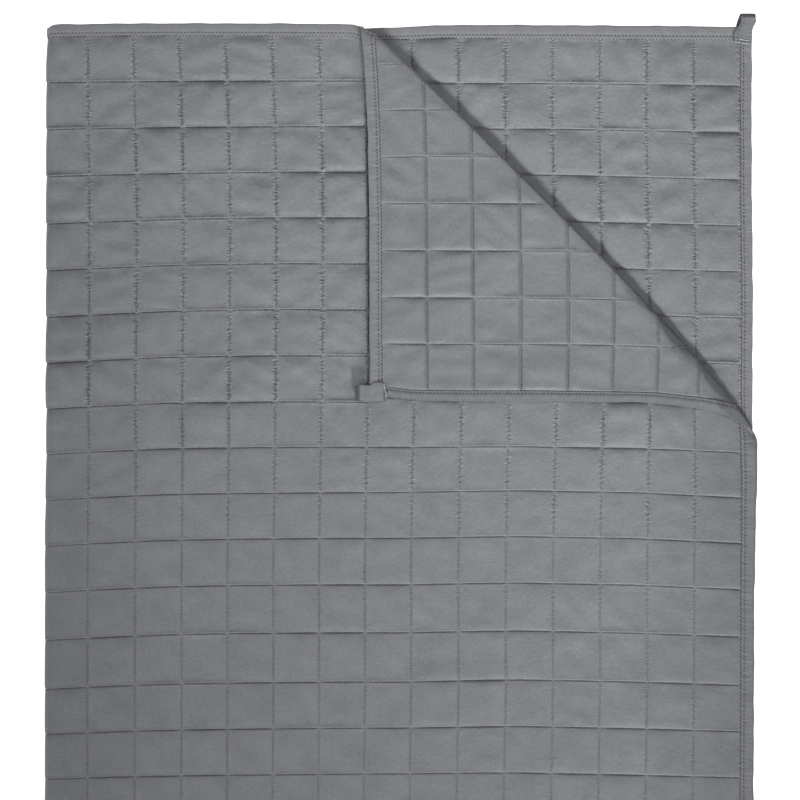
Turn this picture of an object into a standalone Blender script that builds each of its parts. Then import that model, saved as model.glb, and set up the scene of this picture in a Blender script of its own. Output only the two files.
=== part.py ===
"""A weighted blanket, folded in half lengthwise and laid flat, with one corner turned back.

The blanket is filled and quilted into small square cells. A binding closes its four edges, and a
tape loop is sewn on each corner, for the ties of a cover.

Every piece is first made flat, in the cloth's own coordinates: x runs across from the fold line,
y runs up to the head edge, and z is the height over the middle of the cloth, towards its outer
face. Then it is cut along the lines where the cloth bends, and each point is carried round the
two folds. Pieces that lie side by side are cut along the same lines, so their gaps stay even.

The upper layer is the half with x over zero. Its outer face looks up, and the outer face of the
under layer rests on the surface.
"""

from math import cos, exp, pi, radians, sin, sqrt

import bmesh
import bpy
from mathutils import Matrix, Vector
from numpy import interp

MM = 0.001

# The quilting: lines of stitches that divide the cloth into cells.
COLUMNS_EACH_SIDE = 15
ROWS = 40
COLUMN = 49.2 * MM
FOLD_COLUMN = 45.3 * MM
ROW = 48.7 * MM

# The filled cloth: half its thickness on a seam, in the crown of a cell, and the crown's slope.
SEAM_HALF = 1.0 * MM
CROWN_HALF = 3.0 * MM
CROWN_SLOPE = 12.0 * MM

# The binding: a tape folded over the edge, from the outer edge in to its stitches.
BINDING = 12.0 * MM
TAPE = 0.8 * MM
GAP = 0.3 * MM
EDGE_GAP = 0.8 * MM

# A binding is cut at every so many seams, so that it follows the uneven edge.
SEAMS_A_CUT = 1

# The corner loops: a stiffer tape whose end is sewn on the inner face.
LOOP_WIDTH = 16.0 * MM
LOOP_TAPE = 0.9 * MM
LOOP_OUT = 13.7 * MM
LOOP_SEWN = 15.0 * MM
LOOP_LOWEST = 2.95 * MM
LOOP_CLEAR = 2.0 * MM
LOOP_FROM_SIDE = 0.5 * MM
LOOP_STEPS = 5

# Columns: name, side of the cloth (-1 under, 1 over), whether at the head, lean in degrees.
LOOPS = (
    ("loop_head_under", -1, True, 10),
    ("loop_head_over", 1, True, -3),
    ("loop_foot_under", -1, False, -3),
    ("loop_foot_over", 1, False, 3),
)

# The folds: layers lie this far apart, middle to middle, and a fold is a half turn between them.
LAYER_STEP = 7.0 * MM
TURN_RADIUS = LAYER_STEP / 2
TURN_STEPS = 6
HALF_TURN = pi * TURN_RADIUS
UNDER_LEVEL = CROWN_HALF
OVER_LEVEL = UNDER_LEVEL + LAYER_STEP

# The turned corner: its crease runs at 45 degrees, where x + y equals CREASE, and bends at its
# ends towards the blanket's middle. Columns: place along the crease, distance off the line.
CREASE = 339.9 * MM
CREASE_BENDS = (
    (237.6 * MM, 5.5 * MM),
    (267.6 * MM, 3.0 * MM),
    (317.6 * MM, 1.1 * MM),
    (387.6 * MM, 0.0 * MM),
    (565.0 * MM, 0.0 * MM),
    (645.0 * MM, 0.9 * MM),
    (725.0 * MM, 3.6 * MM),
    (775.0 * MM, 8.4 * MM),
    (805.0 * MM, 14.2 * MM),
    (824.6 * MM, 20.0 * MM),
)
FLAP_SLIDE = 6.1 * MM

# Unevenness: rows bow towards the foot at both sides, edges wave, the under layer lies askew.
BOW = 9.0 * MM
BOW_AT_EDGE = 0.45
BOW_CENTRE = 0.37
BOW_BUILDS_OVER = 0.55
BOW_FADES_OVER = 0.45
EDGE_WAVE = 1.8 * MM
EDGE_WAVE_LENGTH = 1.7
HEAD_WAVE = 1.0 * MM
HEAD_WAVE_LENGTH = 1.1
UNDER_SKEW = Vector((3.0 * MM, -2.0 * MM))

# The long fold lies a little further out, more so towards the foot. Columns: everywhere, and more
# from there on; then where that starts and how long it takes, and how far in the shift reaches.
FOLD_OUT = (0.6 * MM, 1.5 * MM)
FOLD_OUT_FROM = (0.42, 0.15)
FOLD_OUT_REACH = 0.08

# The creep of the seams ends over this stretch, from the head edge: start and length, metres.
CREEP_ENDS = (0.9, 0.8)
# Millimetres to the side and towards the foot by which the seams have crept off their places, at
# these distances from the fold (across) and from the head edge (down). Between them it's even.
CREPT_OVER_AT = ((0, 125, 250, 375, 500, 625, 746), (0, 100, 200, 300, 400, 480, 580, 640, 700, 830))
CREPT_OVER_SIDEWAYS = (
    (0, -3.6, -4.8, -2.4, 0.8, 1.3, 1.1),
    (0, -0.6, -0.8, -1, 0, 1.6, 0.6),
    (0, 2.2, 0.7, -0.2, 0, 1.6, -1.3),
    (0, 1, 0.3, 0.1, 1.5, 2.3, -4.1),
    (0, -0.3, -0.2, -1.9, 0.9, 1.2, -4.1),
    (0, 0.5, -1.5, -4.2, -1.9, -0.9, -1.3),
    (0, -0.1, -2.7, -5.3, -3.4, -2.4, -1.6),
    (0, -0.1, -2.6, -5, -3.4, -2, -1.5),
    (0, -0, -2.4, -4.9, -3, -2, -1.4),
    (0, -0.2, -3.1, -6.3, -5.3, -3.4, -1.2),
)
CREPT_OVER_DOWN = (
    (0, -1.4, -1.8, -1.4, -1, -0.9, 0.2),
    (0.2, -1.4, -2.7, -3.8, -2, -1.1, 0.3),
    (0.8, -2.5, -4.1, -4.2, -1, 2.5, 2.7),
    (-0.1, -3.7, -4.9, -4.1, -1.1, 1.8, 2.4),
    (-2.8, -5.2, -4.9, -3.8, -3.3, -3.1, -1),
    (-5.3, -6.6, -5.8, -6.3, -9.1, -8.1, -3.6),
    (-5.9, -7.3, -6.8, -6.8, -9.7, -8.8, -4.8),
    (-4, -5.1, -4.6, -4.6, -7.6, -6.3, -3.5),
    (-0.4, -0.8, -0.3, -0.5, -3.9, -2.8, -0.7),
    (-4.4, -2, -0.8, -1.8, -3.2, -1.9, -0.8),
)
CREPT_UNDER_AT = ((340, 430, 540, 640, 746), (0, 80, 170, 270, 370))
CREPT_UNDER_SIDEWAYS = (
    (-4, -2.7, -0.4, 1.5, 3.4),
    (-3.8, -3, -1.5, 0.3, 2.5),
    (-3, -2.3, -0.3, 1.2, 2.2),
    (-1.9, -0.6, 1.3, 2.4, 2.9),
    (-0.3, 1.1, 2.8, 3.2, 2.1),
)
CREPT_UNDER_DOWN = (
    (1.7, -1.7, -1.7, -1.3, -1),
    (-1.7, -2.2, -2.9, -2, 0.3),
    (-3.2, -3.2, -3.1, -1, 1.5),
    (-4.6, -4.1, -2.9, -1.6, -0),
    (-6, -4.7, -3, -1.7, -0.5),
)

# Lengths that follow.
STITCHED_HALF = FOLD_COLUMN + (COLUMNS_EACH_SIDE - 1) * COLUMN
HALF_WIDTH = STITCHED_HALF + BINDING
STITCHED_LENGTH = ROWS * ROW
LENGTH = STITCHED_LENGTH + 2 * BINDING
RAW_EDGE_IN = TAPE + EDGE_GAP
BENDS = [HALF_TURN * i / TURN_STEPS for i in range(TURN_STEPS + 1)]
BINDING_HALF = SEAM_HALF + GAP + TAPE
STRAP_FACE = BINDING_HALF + GAP

ACROSS_CREASE = Vector((1, 1)) / sqrt(2)
ALONG_CREASE = Vector((1, -1)) / sqrt(2)

# The turned corner's left and lower edges, as it lies on the upper layer. A cell counts as
# covered or hidden only if it is by this much.
FLAP_LEFT = CREASE + HALF_TURN / 2
FLAP_FOOT = CREASE - HALF_WIDTH
HIDDEN_BY = 10.0 * MM

SHARP_ANGLE = radians(25)
CUT_SNAP = MM / 1000

# Colours, roughness: one row for each finish.
FINISHES = {
    "quilt_cloth": ((0.225, 0.232, 0.245, 1), 0.75),
    "binding_cloth": ((0.24, 0.247, 0.26, 1), 0.7),
    "loop_tape": ((0.21, 0.216, 0.228, 1), 0.8),
}


def clear_scene():
    """Removes whatever the scene starts with."""
    for obj in list(bpy.data.objects):
        bpy.data.objects.remove(obj, do_unlink=True)


def smooth_step(x):
    x = min(1.0, max(0.0, x))
    return x * x * (3 - 2 * x)


def seam_columns():
    """The x of each stitch line on the upper layer, from the one nearest the fold."""
    return [FOLD_COLUMN + i * COLUMN for i in range(COLUMNS_EACH_SIDE)]


def seam_rows():
    """The y of each stitch line across the cloth, from the head's down."""
    return [-BINDING - j * ROW for j in range(ROWS + 1)]


# ---- How the cloth lies ----------------------------------------------------------------------


def table_at(table, places, across, down):
    """Value of a table at a place given in millimetres, even between its lines."""
    by_row = [interp(across, places[0], row) for row in table]
    return float(interp(down, places[1], by_row))


def creep(x, y):
    """How far the seams have crept sideways, away from the fold, and down towards the foot."""
    side = abs(x) / MM
    down = -y / MM
    fades = MM * (1 - smooth_step((-y - CREEP_ENDS[0]) / CREEP_ENDS[1]))
    if x > 0:
        sideways = table_at(CREPT_OVER_SIDEWAYS, CREPT_OVER_AT, side, down)
        return sideways * fades, table_at(CREPT_OVER_DOWN, CREPT_OVER_AT, side, down) * fades
    at_fold = table_at(CREPT_OVER_DOWN, CREPT_OVER_AT, 0, down)
    from_fold = min(1.0, side / CREPT_UNDER_AT[0][0])
    sideways = from_fold * table_at(CREPT_UNDER_SIDEWAYS, CREPT_UNDER_AT, side, down)
    under = table_at(CREPT_UNDER_DOWN, CREPT_UNDER_AT, side, down)
    return sideways * fades, (at_fold + from_fold * (under - at_fold)) * fades


def uneven(x, y):
    """A point's place in the flat cloth once the rows bow and the edges wave."""
    side = abs(x)
    from_head = -y
    if side < BOW_CENTRE:
        across = ((BOW_CENTRE - side) / BOW_CENTRE) ** 2
    else:
        across = BOW_AT_EDGE * ((side - BOW_CENTRE) / (HALF_WIDTH - BOW_CENTRE)) ** 2
    along = smooth_step(from_head / BOW_BUILDS_OVER)
    along *= smooth_step((LENGTH - from_head) / BOW_FADES_OVER)
    share = (side / HALF_WIDTH) ** 2
    wave = EDGE_WAVE * share * sin(2 * pi * from_head / EDGE_WAVE_LENGTH)
    head = HEAD_WAVE * cos(2 * pi * side / HEAD_WAVE_LENGTH)
    dx = wave if x > 0 else -wave
    dy = head - BOW * across * along
    if x < 0:
        dx += UNDER_SKEW.x * share
        dy += UNDER_SKEW.y * share
    sideways, down = creep(x, y)
    dx += sideways if x > 0 else -sideways
    return x + dx, y + dy - down


def crease_bend(along):
    """How far the crease lies off its line, at a place along it."""
    return float(interp(along, *zip(*CREASE_BENDS)))


def to_crease(x, y):
    """Distance past the start of the corner's turn, and place along the crease."""
    laid = Vector((x - HALF_TURN / 2, y))
    along = laid.dot(ALONG_CREASE)
    past = laid.dot(ACROSS_CREASE) - CREASE / sqrt(2) + crease_bend(along) + HALF_TURN / 2
    return past, along


def from_crease(past, along):
    """The laid x and y of a point, from its distance past the turn's start and its place."""
    across = past + CREASE / sqrt(2) - crease_bend(along) - HALF_TURN / 2
    return across * ACROSS_CREASE + along * ALONG_CREASE


def round_turn(travel, offset):
    """Carries a point round a half turn that starts flat and ends one layer higher, upside down.

    travel is the distance past the turn's start and offset the height over the cloth's middle,
    on the side that the turn closes on. Returns the distance out and the height.
    """
    if travel <= 0:
        return travel, offset
    if travel >= HALF_TURN:
        return HALF_TURN - travel, LAYER_STEP - offset
    steps = travel / HALF_TURN * TURN_STEPS
    first = min(int(steps), TURN_STEPS - 1)
    second_share = steps - first
    radius = TURN_RADIUS - offset
    out = 0.0
    height = TURN_RADIUS
    for bend, share in ((first, 1 - second_share), (first + 1, second_share)):
        angle = pi * bend / TURN_STEPS
        out += share * radius * sin(angle)
        height -= share * radius * cos(angle)
    return out, height


def fold_shift(laid_x, laid_y):
    """How far the long fold lies out from x = 0, at a place beside it."""
    more = FOLD_OUT[1] * smooth_step((-laid_y - FOLD_OUT_FROM[0]) / FOLD_OUT_FROM[1])
    return (FOLD_OUT[0] + more) * smooth_step(-laid_y / 0.05) * exp(-laid_x / FOLD_OUT_REACH)


def lay(point):
    """Carries a point of the flat cloth to where it lies on the folded blanket."""
    if point.x < HALF_TURN / 2:
        # The under layer and the long fold, which closes on the inner face.
        out, height = round_turn(point.x + HALF_TURN / 2, -point.z)
        return Vector((-out - fold_shift(-out, point.y), point.y, UNDER_LEVEL + height))
    # The upper layer and its turned corner, which closes on the outer face.
    past, along = to_crease(point.x, point.y)
    out, height = round_turn(past, point.z)
    slide = FLAP_SLIDE * min(1.0, max(0.0, past / HALF_TURN))
    laid = from_crease(out, along - slide)
    return Vector((laid.x - fold_shift(laid.x, laid.y), laid.y, OVER_LEVEL + height))


# ---- Cutting the flat pieces along their bends -----------------------------------------------


def cut(bm, place, normal, keep=None):
    """Cuts the faces that keep accepts along a plane, and leaves both sides."""
    faces = [face for face in bm.faces if keep is None or keep(face)]
    edges = {edge for face in faces for edge in face.edges}
    verts = {vert for face in faces for vert in face.verts}
    geom = faces + list(edges) + list(verts)
    bmesh.ops.bisect_plane(bm, geom=geom, dist=CUT_SNAP, plane_co=place, plane_no=normal)


def in_turned_corner(face):
    """Whether any of a face lies past the start of the corner's turn."""
    return any(to_crease(vert.co.x, vert.co.y)[0] > 0 for vert in face.verts)


def straighten_crease(bm, way):
    """Moves the points across the crease so that its bent ends lie on its line, or back again."""
    for vert in bm.verts:
        _, along = to_crease(vert.co.x, vert.co.y)
        vert.co.xy += way * crease_bend(along) * ACROSS_CREASE


def fold(bm):
    """Makes a flat piece uneven, cuts it where the cloth bends and lays it in its folds."""
    for vert in bm.verts:
        vert.co.xy = uneven(vert.co.x, vert.co.y)
    for travel in BENDS:
        cut(bm, Vector((travel - HALF_TURN / 2, 0, 0)), Vector((1, 0, 0)))
    fold_edge = Vector((HALF_TURN / 2, 0, 0))
    for place, _ in CREASE_BENDS:
        along = place * ALONG_CREASE.to_3d()
        cut(bm, fold_edge + along, ALONG_CREASE.to_3d(), in_turned_corner)
    straighten_crease(bm, 1)
    for travel in BENDS:
        across = (CREASE / sqrt(2) - HALF_TURN / 2 + travel) * ACROSS_CREASE.to_3d()
        cut(bm, fold_edge + across, ACROSS_CREASE.to_3d())
    straighten_crease(bm, -1)
    for vert in bm.verts:
        vert.co = lay(vert.co)


# ---- The quilted cloth -----------------------------------------------------------------------


def grid_lines():
    """The x and y of the lines that divide the filled cloth: raw edges, seams and the fold."""
    right = [HALF_TURN / 2, *seam_columns(), HALF_WIDTH - RAW_EDGE_IN]
    columns = [-x for x in reversed(right)] + right
    rows = [-LENGTH + RAW_EDGE_IN, *reversed(seam_rows()), -RAW_EDGE_IN]
    return columns, rows


def is_cell(centre):
    """Whether a face with this centre is a cell, and not part of the fold or of the raw edges."""
    across = HALF_TURN < abs(centre.x) < STITCHED_HALF
    return across and -LENGTH + BINDING < centre.y < -BINDING


def is_shown(centre, outer):
    """Whether a cell is seen on the folded blanket, on its outer or on its inner face."""
    side = abs(centre.x)
    if outer:
        inside_left = side - COLUMN / 2 > FLAP_LEFT - HIDDEN_BY
        inside_foot = centre.y - ROW / 2 > FLAP_FOOT - HIDDEN_BY
        return centre.x > 0 and not (inside_left and inside_foot)
    past_crease = side + COLUMN / 2 + centre.y + ROW / 2 - HALF_TURN / 2 - CREASE
    return past_crease > -HIDDEN_BY


def level_of(co):
    """Half the thickness at a corner of the hidden cells: drawn in only next to edge and fold."""
    across = HALF_TURN < abs(co.x) < STITCHED_HALF - COLUMN / 2
    along = -LENGTH + BINDING + ROW / 2 < co.y < -BINDING - ROW / 2
    return CROWN_HALF if across and along else SEAM_HALF


def raised(bm, geom, vec):
    """Extrudes the faces by a vector into a closed solid."""
    swept = bmesh.ops.extrude_face_region(bm, geom=geom, use_keep_orig=True)["geom"]
    verts = [item for item in swept if isinstance(item, bmesh.types.BMVert)]
    bmesh.ops.translate(bm, verts=verts, vec=vec)
    bmesh.ops.recalc_face_normals(bm, faces=bm.faces)


def make_quilt():
    """The filled cloth: both faces of a grid of cells, each shown cell puffed up to its crown."""
    columns, rows = grid_lines()
    across = len(columns) - 1
    along = len(rows) - 1
    bm = bmesh.new()
    bmesh.ops.create_grid(bm, x_segments=across, y_segments=along, size=1)
    for vert in bm.verts:
        column = round((vert.co.x + 1) / 2 * across)
        row = round((vert.co.y + 1) / 2 * along)
        vert.co = Vector((columns[column], rows[row], -SEAM_HALF))
    raised(bm, bm.faces[:], Vector((0, 0, 2 * SEAM_HALF)))
    shown = []
    for face in bm.faces:
        centre = face.calc_center_median()
        if is_cell(centre) and is_shown(centre, outer=centre.z > 0):
            shown.append(face)
    drawn_in = {vert for face in shown for vert in face.verts}
    for vert in bm.verts:
        if vert not in drawn_in:
            vert.co.z = level_of(vert.co) if vert.co.z > 0 else -level_of(vert.co)
    rise = CROWN_HALF - SEAM_HALF
    bmesh.ops.inset_individual(bm, faces=shown, thickness=CROWN_SLOPE, depth=rise)
    return bm


# ---- The binding and the loops ---------------------------------------------------------------


def prism(outline, length):
    """A solid with the outline, in x and z, as its section, running from y = 0 to y = length."""
    bm = bmesh.new()
    section = bm.faces.new([bm.verts.new((x, 0, z)) for x, z in outline])
    raised(bm, [section], Vector((0, length, 0)))
    return bm


def binding_outline():
    """The section of a binding: folded over the raw edge, with the outer edge at x = 0."""
    inner = BINDING_HALF - TAPE
    mouth = -BINDING + GAP
    return [
        (0, -BINDING_HALF),
        (0, BINDING_HALF),
        (mouth, BINDING_HALF),
        (mouth, inner),
        (-TAPE, inner),
        (-TAPE, -inner),
        (mouth, -inner),
        (mouth, -BINDING_HALF),
    ]


def make_binding(length, turned, place, cuts):
    """A strip of binding, turned to its edge, moved to its place and cut where it can bend."""
    bm = prism(binding_outline(), length)
    bmesh.ops.rotate(bm, verts=bm.verts, cent=Vector(), matrix=Matrix.Rotation(turned, 3, "Z"))
    bmesh.ops.translate(bm, verts=bm.verts, vec=Vector(place).to_3d())
    across = abs(sin(turned)) > 0.5
    for position in cuts:
        if across:
            cut(bm, Vector((position, 0, 0)), Vector((1, 0, 0)))
        else:
            cut(bm, Vector((0, position, 0)), Vector((0, 1, 0)))
    return bm


def make_bindings():
    """The four strips: head and foot run the whole width, and the sides lie between them."""
    columns = seam_columns()[2:-1:SEAMS_A_CUT]
    columns += [-x for x in columns]
    rows = seam_rows()[SEAMS_A_CUT:-1:SEAMS_A_CUT]
    width = 2 * HALF_WIDTH
    side = STITCHED_LENGTH
    return {
        "binding_head": make_binding(width, pi / 2, (HALF_WIDTH, 0), columns),
        "binding_foot": make_binding(width, -pi / 2, (-HALF_WIDTH, -LENGTH), columns),
        "binding_side_over": make_binding(side, 0, (HALF_WIDTH, BINDING - LENGTH), rows),
        "binding_side_under": make_binding(side, pi, (-HALF_WIDTH, -BINDING), rows),
    }


def loop_outline():
    """The section of a loop: sewn strap, eye and the end that returns, with the edge at x = 0."""
    strap_out = -STRAP_FACE - LOOP_TAPE
    radius = (LOOP_LOWEST - strap_out) / 2
    level = (LOOP_LOWEST + strap_out) / 2
    bend = LOOP_OUT - radius
    angles = [pi * (i / LOOP_STEPS - 0.5) for i in range(LOOP_STEPS + 1)]
    outside = [(bend + radius * cos(a), level + radius * sin(a)) for a in angles]
    hollow = radius - LOOP_TAPE
    inside = [(bend + hollow * cos(a), level + hollow * sin(a)) for a in reversed(angles)]
    strap_end = [(-LOOP_SEWN, level - hollow), (-LOOP_SEWN, strap_out)]
    edge_end = [(LOOP_CLEAR, LOOP_LOWEST), (LOOP_CLEAR, LOOP_LOWEST - LOOP_TAPE)]
    return [*outside, *edge_end, *inside, *strap_end]


def make_loop(side, at_head, lean):
    """A loop across the head or foot edge, beside the side edge on that side of the cloth."""
    bm = prism(loop_outline(), LOOP_WIDTH)
    bmesh.ops.translate(bm, verts=bm.verts, vec=Vector((0, -LOOP_WIDTH / 2, 0)))
    outwards = pi / 2 if at_head else -pi / 2
    spin = Matrix.Rotation(outwards + radians(lean), 3, "Z")
    bmesh.ops.rotate(bm, verts=bm.verts, cent=Vector(), matrix=spin)
    across = side * (HALF_WIDTH - LOOP_FROM_SIDE - LOOP_WIDTH / 2)
    edge = 0 if at_head else -LENGTH
    bmesh.ops.translate(bm, verts=bm.verts, vec=Vector((across, edge, 0)))
    return bm


# ---- The blanket -----------------------------------------------------------------------------


def add_finishes():
    """One material for each cloth."""
    for name, (colour, roughness) in FINISHES.items():
        material = bpy.data.materials.new(name)
        material.use_nodes = True
        shader = material.node_tree.nodes["Principled BSDF"]
        shader.inputs["Base Color"].default_value = colour
        shader.inputs["Roughness"].default_value = roughness
        shader.inputs["Metallic"].default_value = 0.0


def add_piece(bm, name, finish, collection, base):
    """Folds a flat piece and makes it an object, in its finish, on the blanket's base."""
    fold(bm)
    bmesh.ops.recalc_face_normals(bm, faces=bm.faces)
    if bm.calc_volume(signed=True) < 0:
        bmesh.ops.reverse_faces(bm, faces=bm.faces)
    mesh = bpy.data.meshes.new(name)
    bm.to_mesh(mesh)
    bm.free()
    mesh.shade_smooth()
    mesh.set_sharp_from_angle(angle=SHARP_ANGLE)
    mesh.materials.append(bpy.data.materials[finish])
    obj = bpy.data.objects.new(name, mesh)
    obj.parent = base
    collection.objects.link(obj)
    return obj


def seat_on_origin(pieces, base):
    """Moves the base so that the whole blanket stands centred on the origin."""
    points = [vert.co for piece in pieces for vert in piece.data.vertices]
    lowest = Vector([min(point[i] for point in points) for i in range(3)])
    highest = Vector([max(point[i] for point in points) for i in range(3)])
    base.location = -(lowest + highest) / 2
    base.location.z = -lowest.z


def main():
    clear_scene()
    add_finishes()
    collection = bpy.data.collections.new("weighted_blanket")
    bpy.context.scene.collection.children.link(collection)
    base = bpy.data.objects.new("blanket_base", None)
    collection.objects.link(base)
    pieces = [add_piece(make_quilt(), "quilt", "quilt_cloth", collection, base)]
    for name, bm in make_bindings().items():
        pieces.append(add_piece(bm, name, "binding_cloth", collection, base))
    for name, side, at_head, lean in LOOPS:
        bm = make_loop(side, at_head, lean)
        pieces.append(add_piece(bm, name, "loop_tape", collection, base))
    seat_on_origin(pieces, base)


main()
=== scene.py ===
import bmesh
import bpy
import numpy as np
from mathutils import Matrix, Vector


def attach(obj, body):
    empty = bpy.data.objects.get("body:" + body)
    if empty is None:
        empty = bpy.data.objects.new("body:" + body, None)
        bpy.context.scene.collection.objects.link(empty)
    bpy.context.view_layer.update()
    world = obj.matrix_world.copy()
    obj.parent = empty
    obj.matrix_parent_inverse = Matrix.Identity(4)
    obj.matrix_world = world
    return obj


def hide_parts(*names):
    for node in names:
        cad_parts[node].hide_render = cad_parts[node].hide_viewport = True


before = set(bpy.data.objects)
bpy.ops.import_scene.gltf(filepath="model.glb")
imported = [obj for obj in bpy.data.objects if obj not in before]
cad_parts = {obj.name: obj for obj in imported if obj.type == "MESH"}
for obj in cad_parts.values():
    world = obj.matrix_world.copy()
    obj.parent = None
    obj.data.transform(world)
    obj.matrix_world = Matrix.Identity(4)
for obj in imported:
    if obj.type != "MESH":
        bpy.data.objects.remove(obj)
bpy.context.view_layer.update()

# %% [markdown]
# # A quilted, weighted blanket
#
# The blanket is two cloths with a filling between them, sewn through in small square cells. It
# is folded in half along its length and laid flat, and its top corner is turned back so that the
# inner cloth shows. A tape binds its four edges, and a loop of tape is sewn on each corner.
#
# The fixed frame says where everything is. This lesson builds the looks round it: the crowned
# cells, the bound edges, the loops, each stitch, and the finishes. The method is the same for
# every piece. It is made flat, as the cloth is before it's folded, and each of its points is then
# carried round the folds. A detail is therefore drawn once, where a sewer would mark it.

MM = 0.001

print("nodes of the frame:", sorted(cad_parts))

# %% [markdown]
# ## The cloth's own coordinates
#
# A sewer marks a quilt while it lies flat, and so do we: x runs across from the fold line, y runs
# up to the head edge, and z is the height over the middle of the cloth, towards its outer face.
# The seams are straight lines there. The numbers below are the same as those that made the frame,
# so what we draw lands exactly on it.

# %% Sizes of the quilting, the binding and the folds
COLUMNS_EACH_SIDE = 15
ROWS = 40
COLUMN = 49.2 * MM
FOLD_COLUMN = 45.3 * MM
ROW = 48.7 * MM
BINDING = 12.0 * MM
RAW_EDGE_IN = 1.6 * MM
STITCHED_HALF = FOLD_COLUMN + (COLUMNS_EACH_SIDE - 1) * COLUMN
HALF_WIDTH = STITCHED_HALF + BINDING
STITCHED_LENGTH = ROWS * ROW
LENGTH = STITCHED_LENGTH + 2 * BINDING

LAYER_STEP = 7.0 * MM
TURN_RADIUS = LAYER_STEP / 2
HALF_TURN = np.pi * TURN_RADIUS
UNDER_LEVEL = 3.0 * MM
OVER_LEVEL = UNDER_LEVEL + LAYER_STEP

# Where the fold line meets the head edge, in the frame.
CLOTH_ORIGIN = np.array([-367.39, 987.52, 0.0]) * MM

print(f"flat blanket: {2 * HALF_WIDTH:.3f} m by {LENGTH:.3f} m, {ROWS} rows of cells")

# %% [markdown]
# ## Small unevennesses
#
# No folded blanket lies true. Its rows bow towards the foot at both sides, its edges wave, and
# the under layer lies a little askew. One function moves every point by these small amounts, so
# seams, stitches and bindings stay together.

# %% How rows bow and edges wave
BOW = 9.0 * MM
BOW_AT_EDGE = 0.45
BOW_CENTRE = 0.37
BOW_BUILDS_OVER = 0.55
BOW_FADES_OVER = 0.45
EDGE_WAVE = 1.8 * MM
EDGE_WAVE_LENGTH = 1.7
HEAD_WAVE = 1.0 * MM
HEAD_WAVE_LENGTH = 1.1
UNDER_SKEW = (3.0 * MM, -2.0 * MM)
# Where the creep starts to end, and over how much cloth, in metres from the head edge.
CREEP_ENDS = (0.9, 0.8)
GUESSES = 6
# Millimetres to the side and towards the foot by which the seams have crept off their places, at
# these distances from the fold (across) and from the head edge (down). Between them it's even.
# The four tables weren't chosen by hand: a separate program fitted them. The frame was made with
# the same ones, so the two agree.
OVER_PLACES = ((0, 125, 250, 375, 500, 625, 746), (0, 100, 200, 300, 400, 480, 580, 640, 700, 830))
OVER_SIDEWAYS = (
    (0, -3.6, -4.8, -2.4, 0.8, 1.3, 1.1),
    (0, -0.6, -0.8, -1, 0, 1.6, 0.6),
    (0, 2.2, 0.7, -0.2, 0, 1.6, -1.3),
    (0, 1, 0.3, 0.1, 1.5, 2.3, -4.1),
    (0, -0.3, -0.2, -1.9, 0.9, 1.2, -4.1),
    (0, 0.5, -1.5, -4.2, -1.9, -0.9, -1.3),
    (0, -0.1, -2.7, -5.3, -3.4, -2.4, -1.6),
    (0, -0.1, -2.6, -5, -3.4, -2, -1.5),
    (0, 0, -2.4, -4.9, -3, -2, -1.4),
    (0, -0.2, -3.1, -6.3, -5.3, -3.4, -1.2),
)
OVER_DOWN = (
    (0, -1.4, -1.8, -1.4, -1, -0.9, 0.2),
    (0.2, -1.4, -2.7, -3.8, -2, -1.1, 0.3),
    (0.8, -2.5, -4.1, -4.2, -1, 2.5, 2.7),
    (-0.1, -3.7, -4.9, -4.1, -1.1, 1.8, 2.4),
    (-2.8, -5.2, -4.9, -3.8, -3.3, -3.1, -1),
    (-5.3, -6.6, -5.8, -6.3, -9.1, -8.1, -3.6),
    (-5.9, -7.3, -6.8, -6.8, -9.7, -8.8, -4.8),
    (-4, -5.1, -4.6, -4.6, -7.6, -6.3, -3.5),
    (-0.4, -0.8, -0.3, -0.5, -3.9, -2.8, -0.7),
    (-4.4, -2, -0.8, -1.8, -3.2, -1.9, -0.8),
)
UNDER_PLACES = ((340, 430, 540, 640, 746), (0, 80, 170, 270, 370))
UNDER_SIDEWAYS = (
    (-4, -2.7, -0.4, 1.5, 3.4),
    (-3.8, -3, -1.5, 0.3, 2.5),
    (-3, -2.3, -0.3, 1.2, 2.2),
    (-1.9, -0.6, 1.3, 2.4, 2.9),
    (-0.3, 1.1, 2.8, 3.2, 2.1),
)
UNDER_DOWN = (
    (1.7, -1.7, -1.7, -1.3, -1),
    (-1.7, -2.2, -2.9, -2, 0.3),
    (-3.2, -3.2, -3.1, -1, 1.5),
    (-4.6, -4.1, -2.9, -1.6, 0),
    (-6, -4.7, -3, -1.7, -0.5),
)


def smooth_step(x):
    x = np.clip(x, 0.0, 1.0)
    return x * x * (3 - 2 * x)


def table_at(table, places, across, down):
    """Value of a table at a place given in millimetres, even between its lines."""
    total = 0.0
    for row, only in zip(table, np.eye(len(places[1]))):
        total = total + np.interp(across, places[0], row) * np.interp(down, places[1], only)
    return total


def creep(x, y):
    """How far the seams have crept sideways, away from the fold, and down towards the foot."""
    side = np.abs(x) / MM
    down = -y / MM
    over = [table_at(table, OVER_PLACES, side, down) for table in (OVER_SIDEWAYS, OVER_DOWN)]
    under = [table_at(table, UNDER_PLACES, side, down) for table in (UNDER_SIDEWAYS, UNDER_DOWN)]
    at_fold = table_at(OVER_DOWN, OVER_PLACES, 0 * side, down)
    from_fold = np.clip(side / UNDER_PLACES[0][0], 0, 1)
    under = [from_fold * under[0], at_fold + from_fold * (under[1] - at_fold)]
    fades = 1 - smooth_step((-y - CREEP_ENDS[0]) / CREEP_ENDS[1])
    return [np.where(x > 0, *pair) * fades * MM for pair in zip(over, under)]


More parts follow.
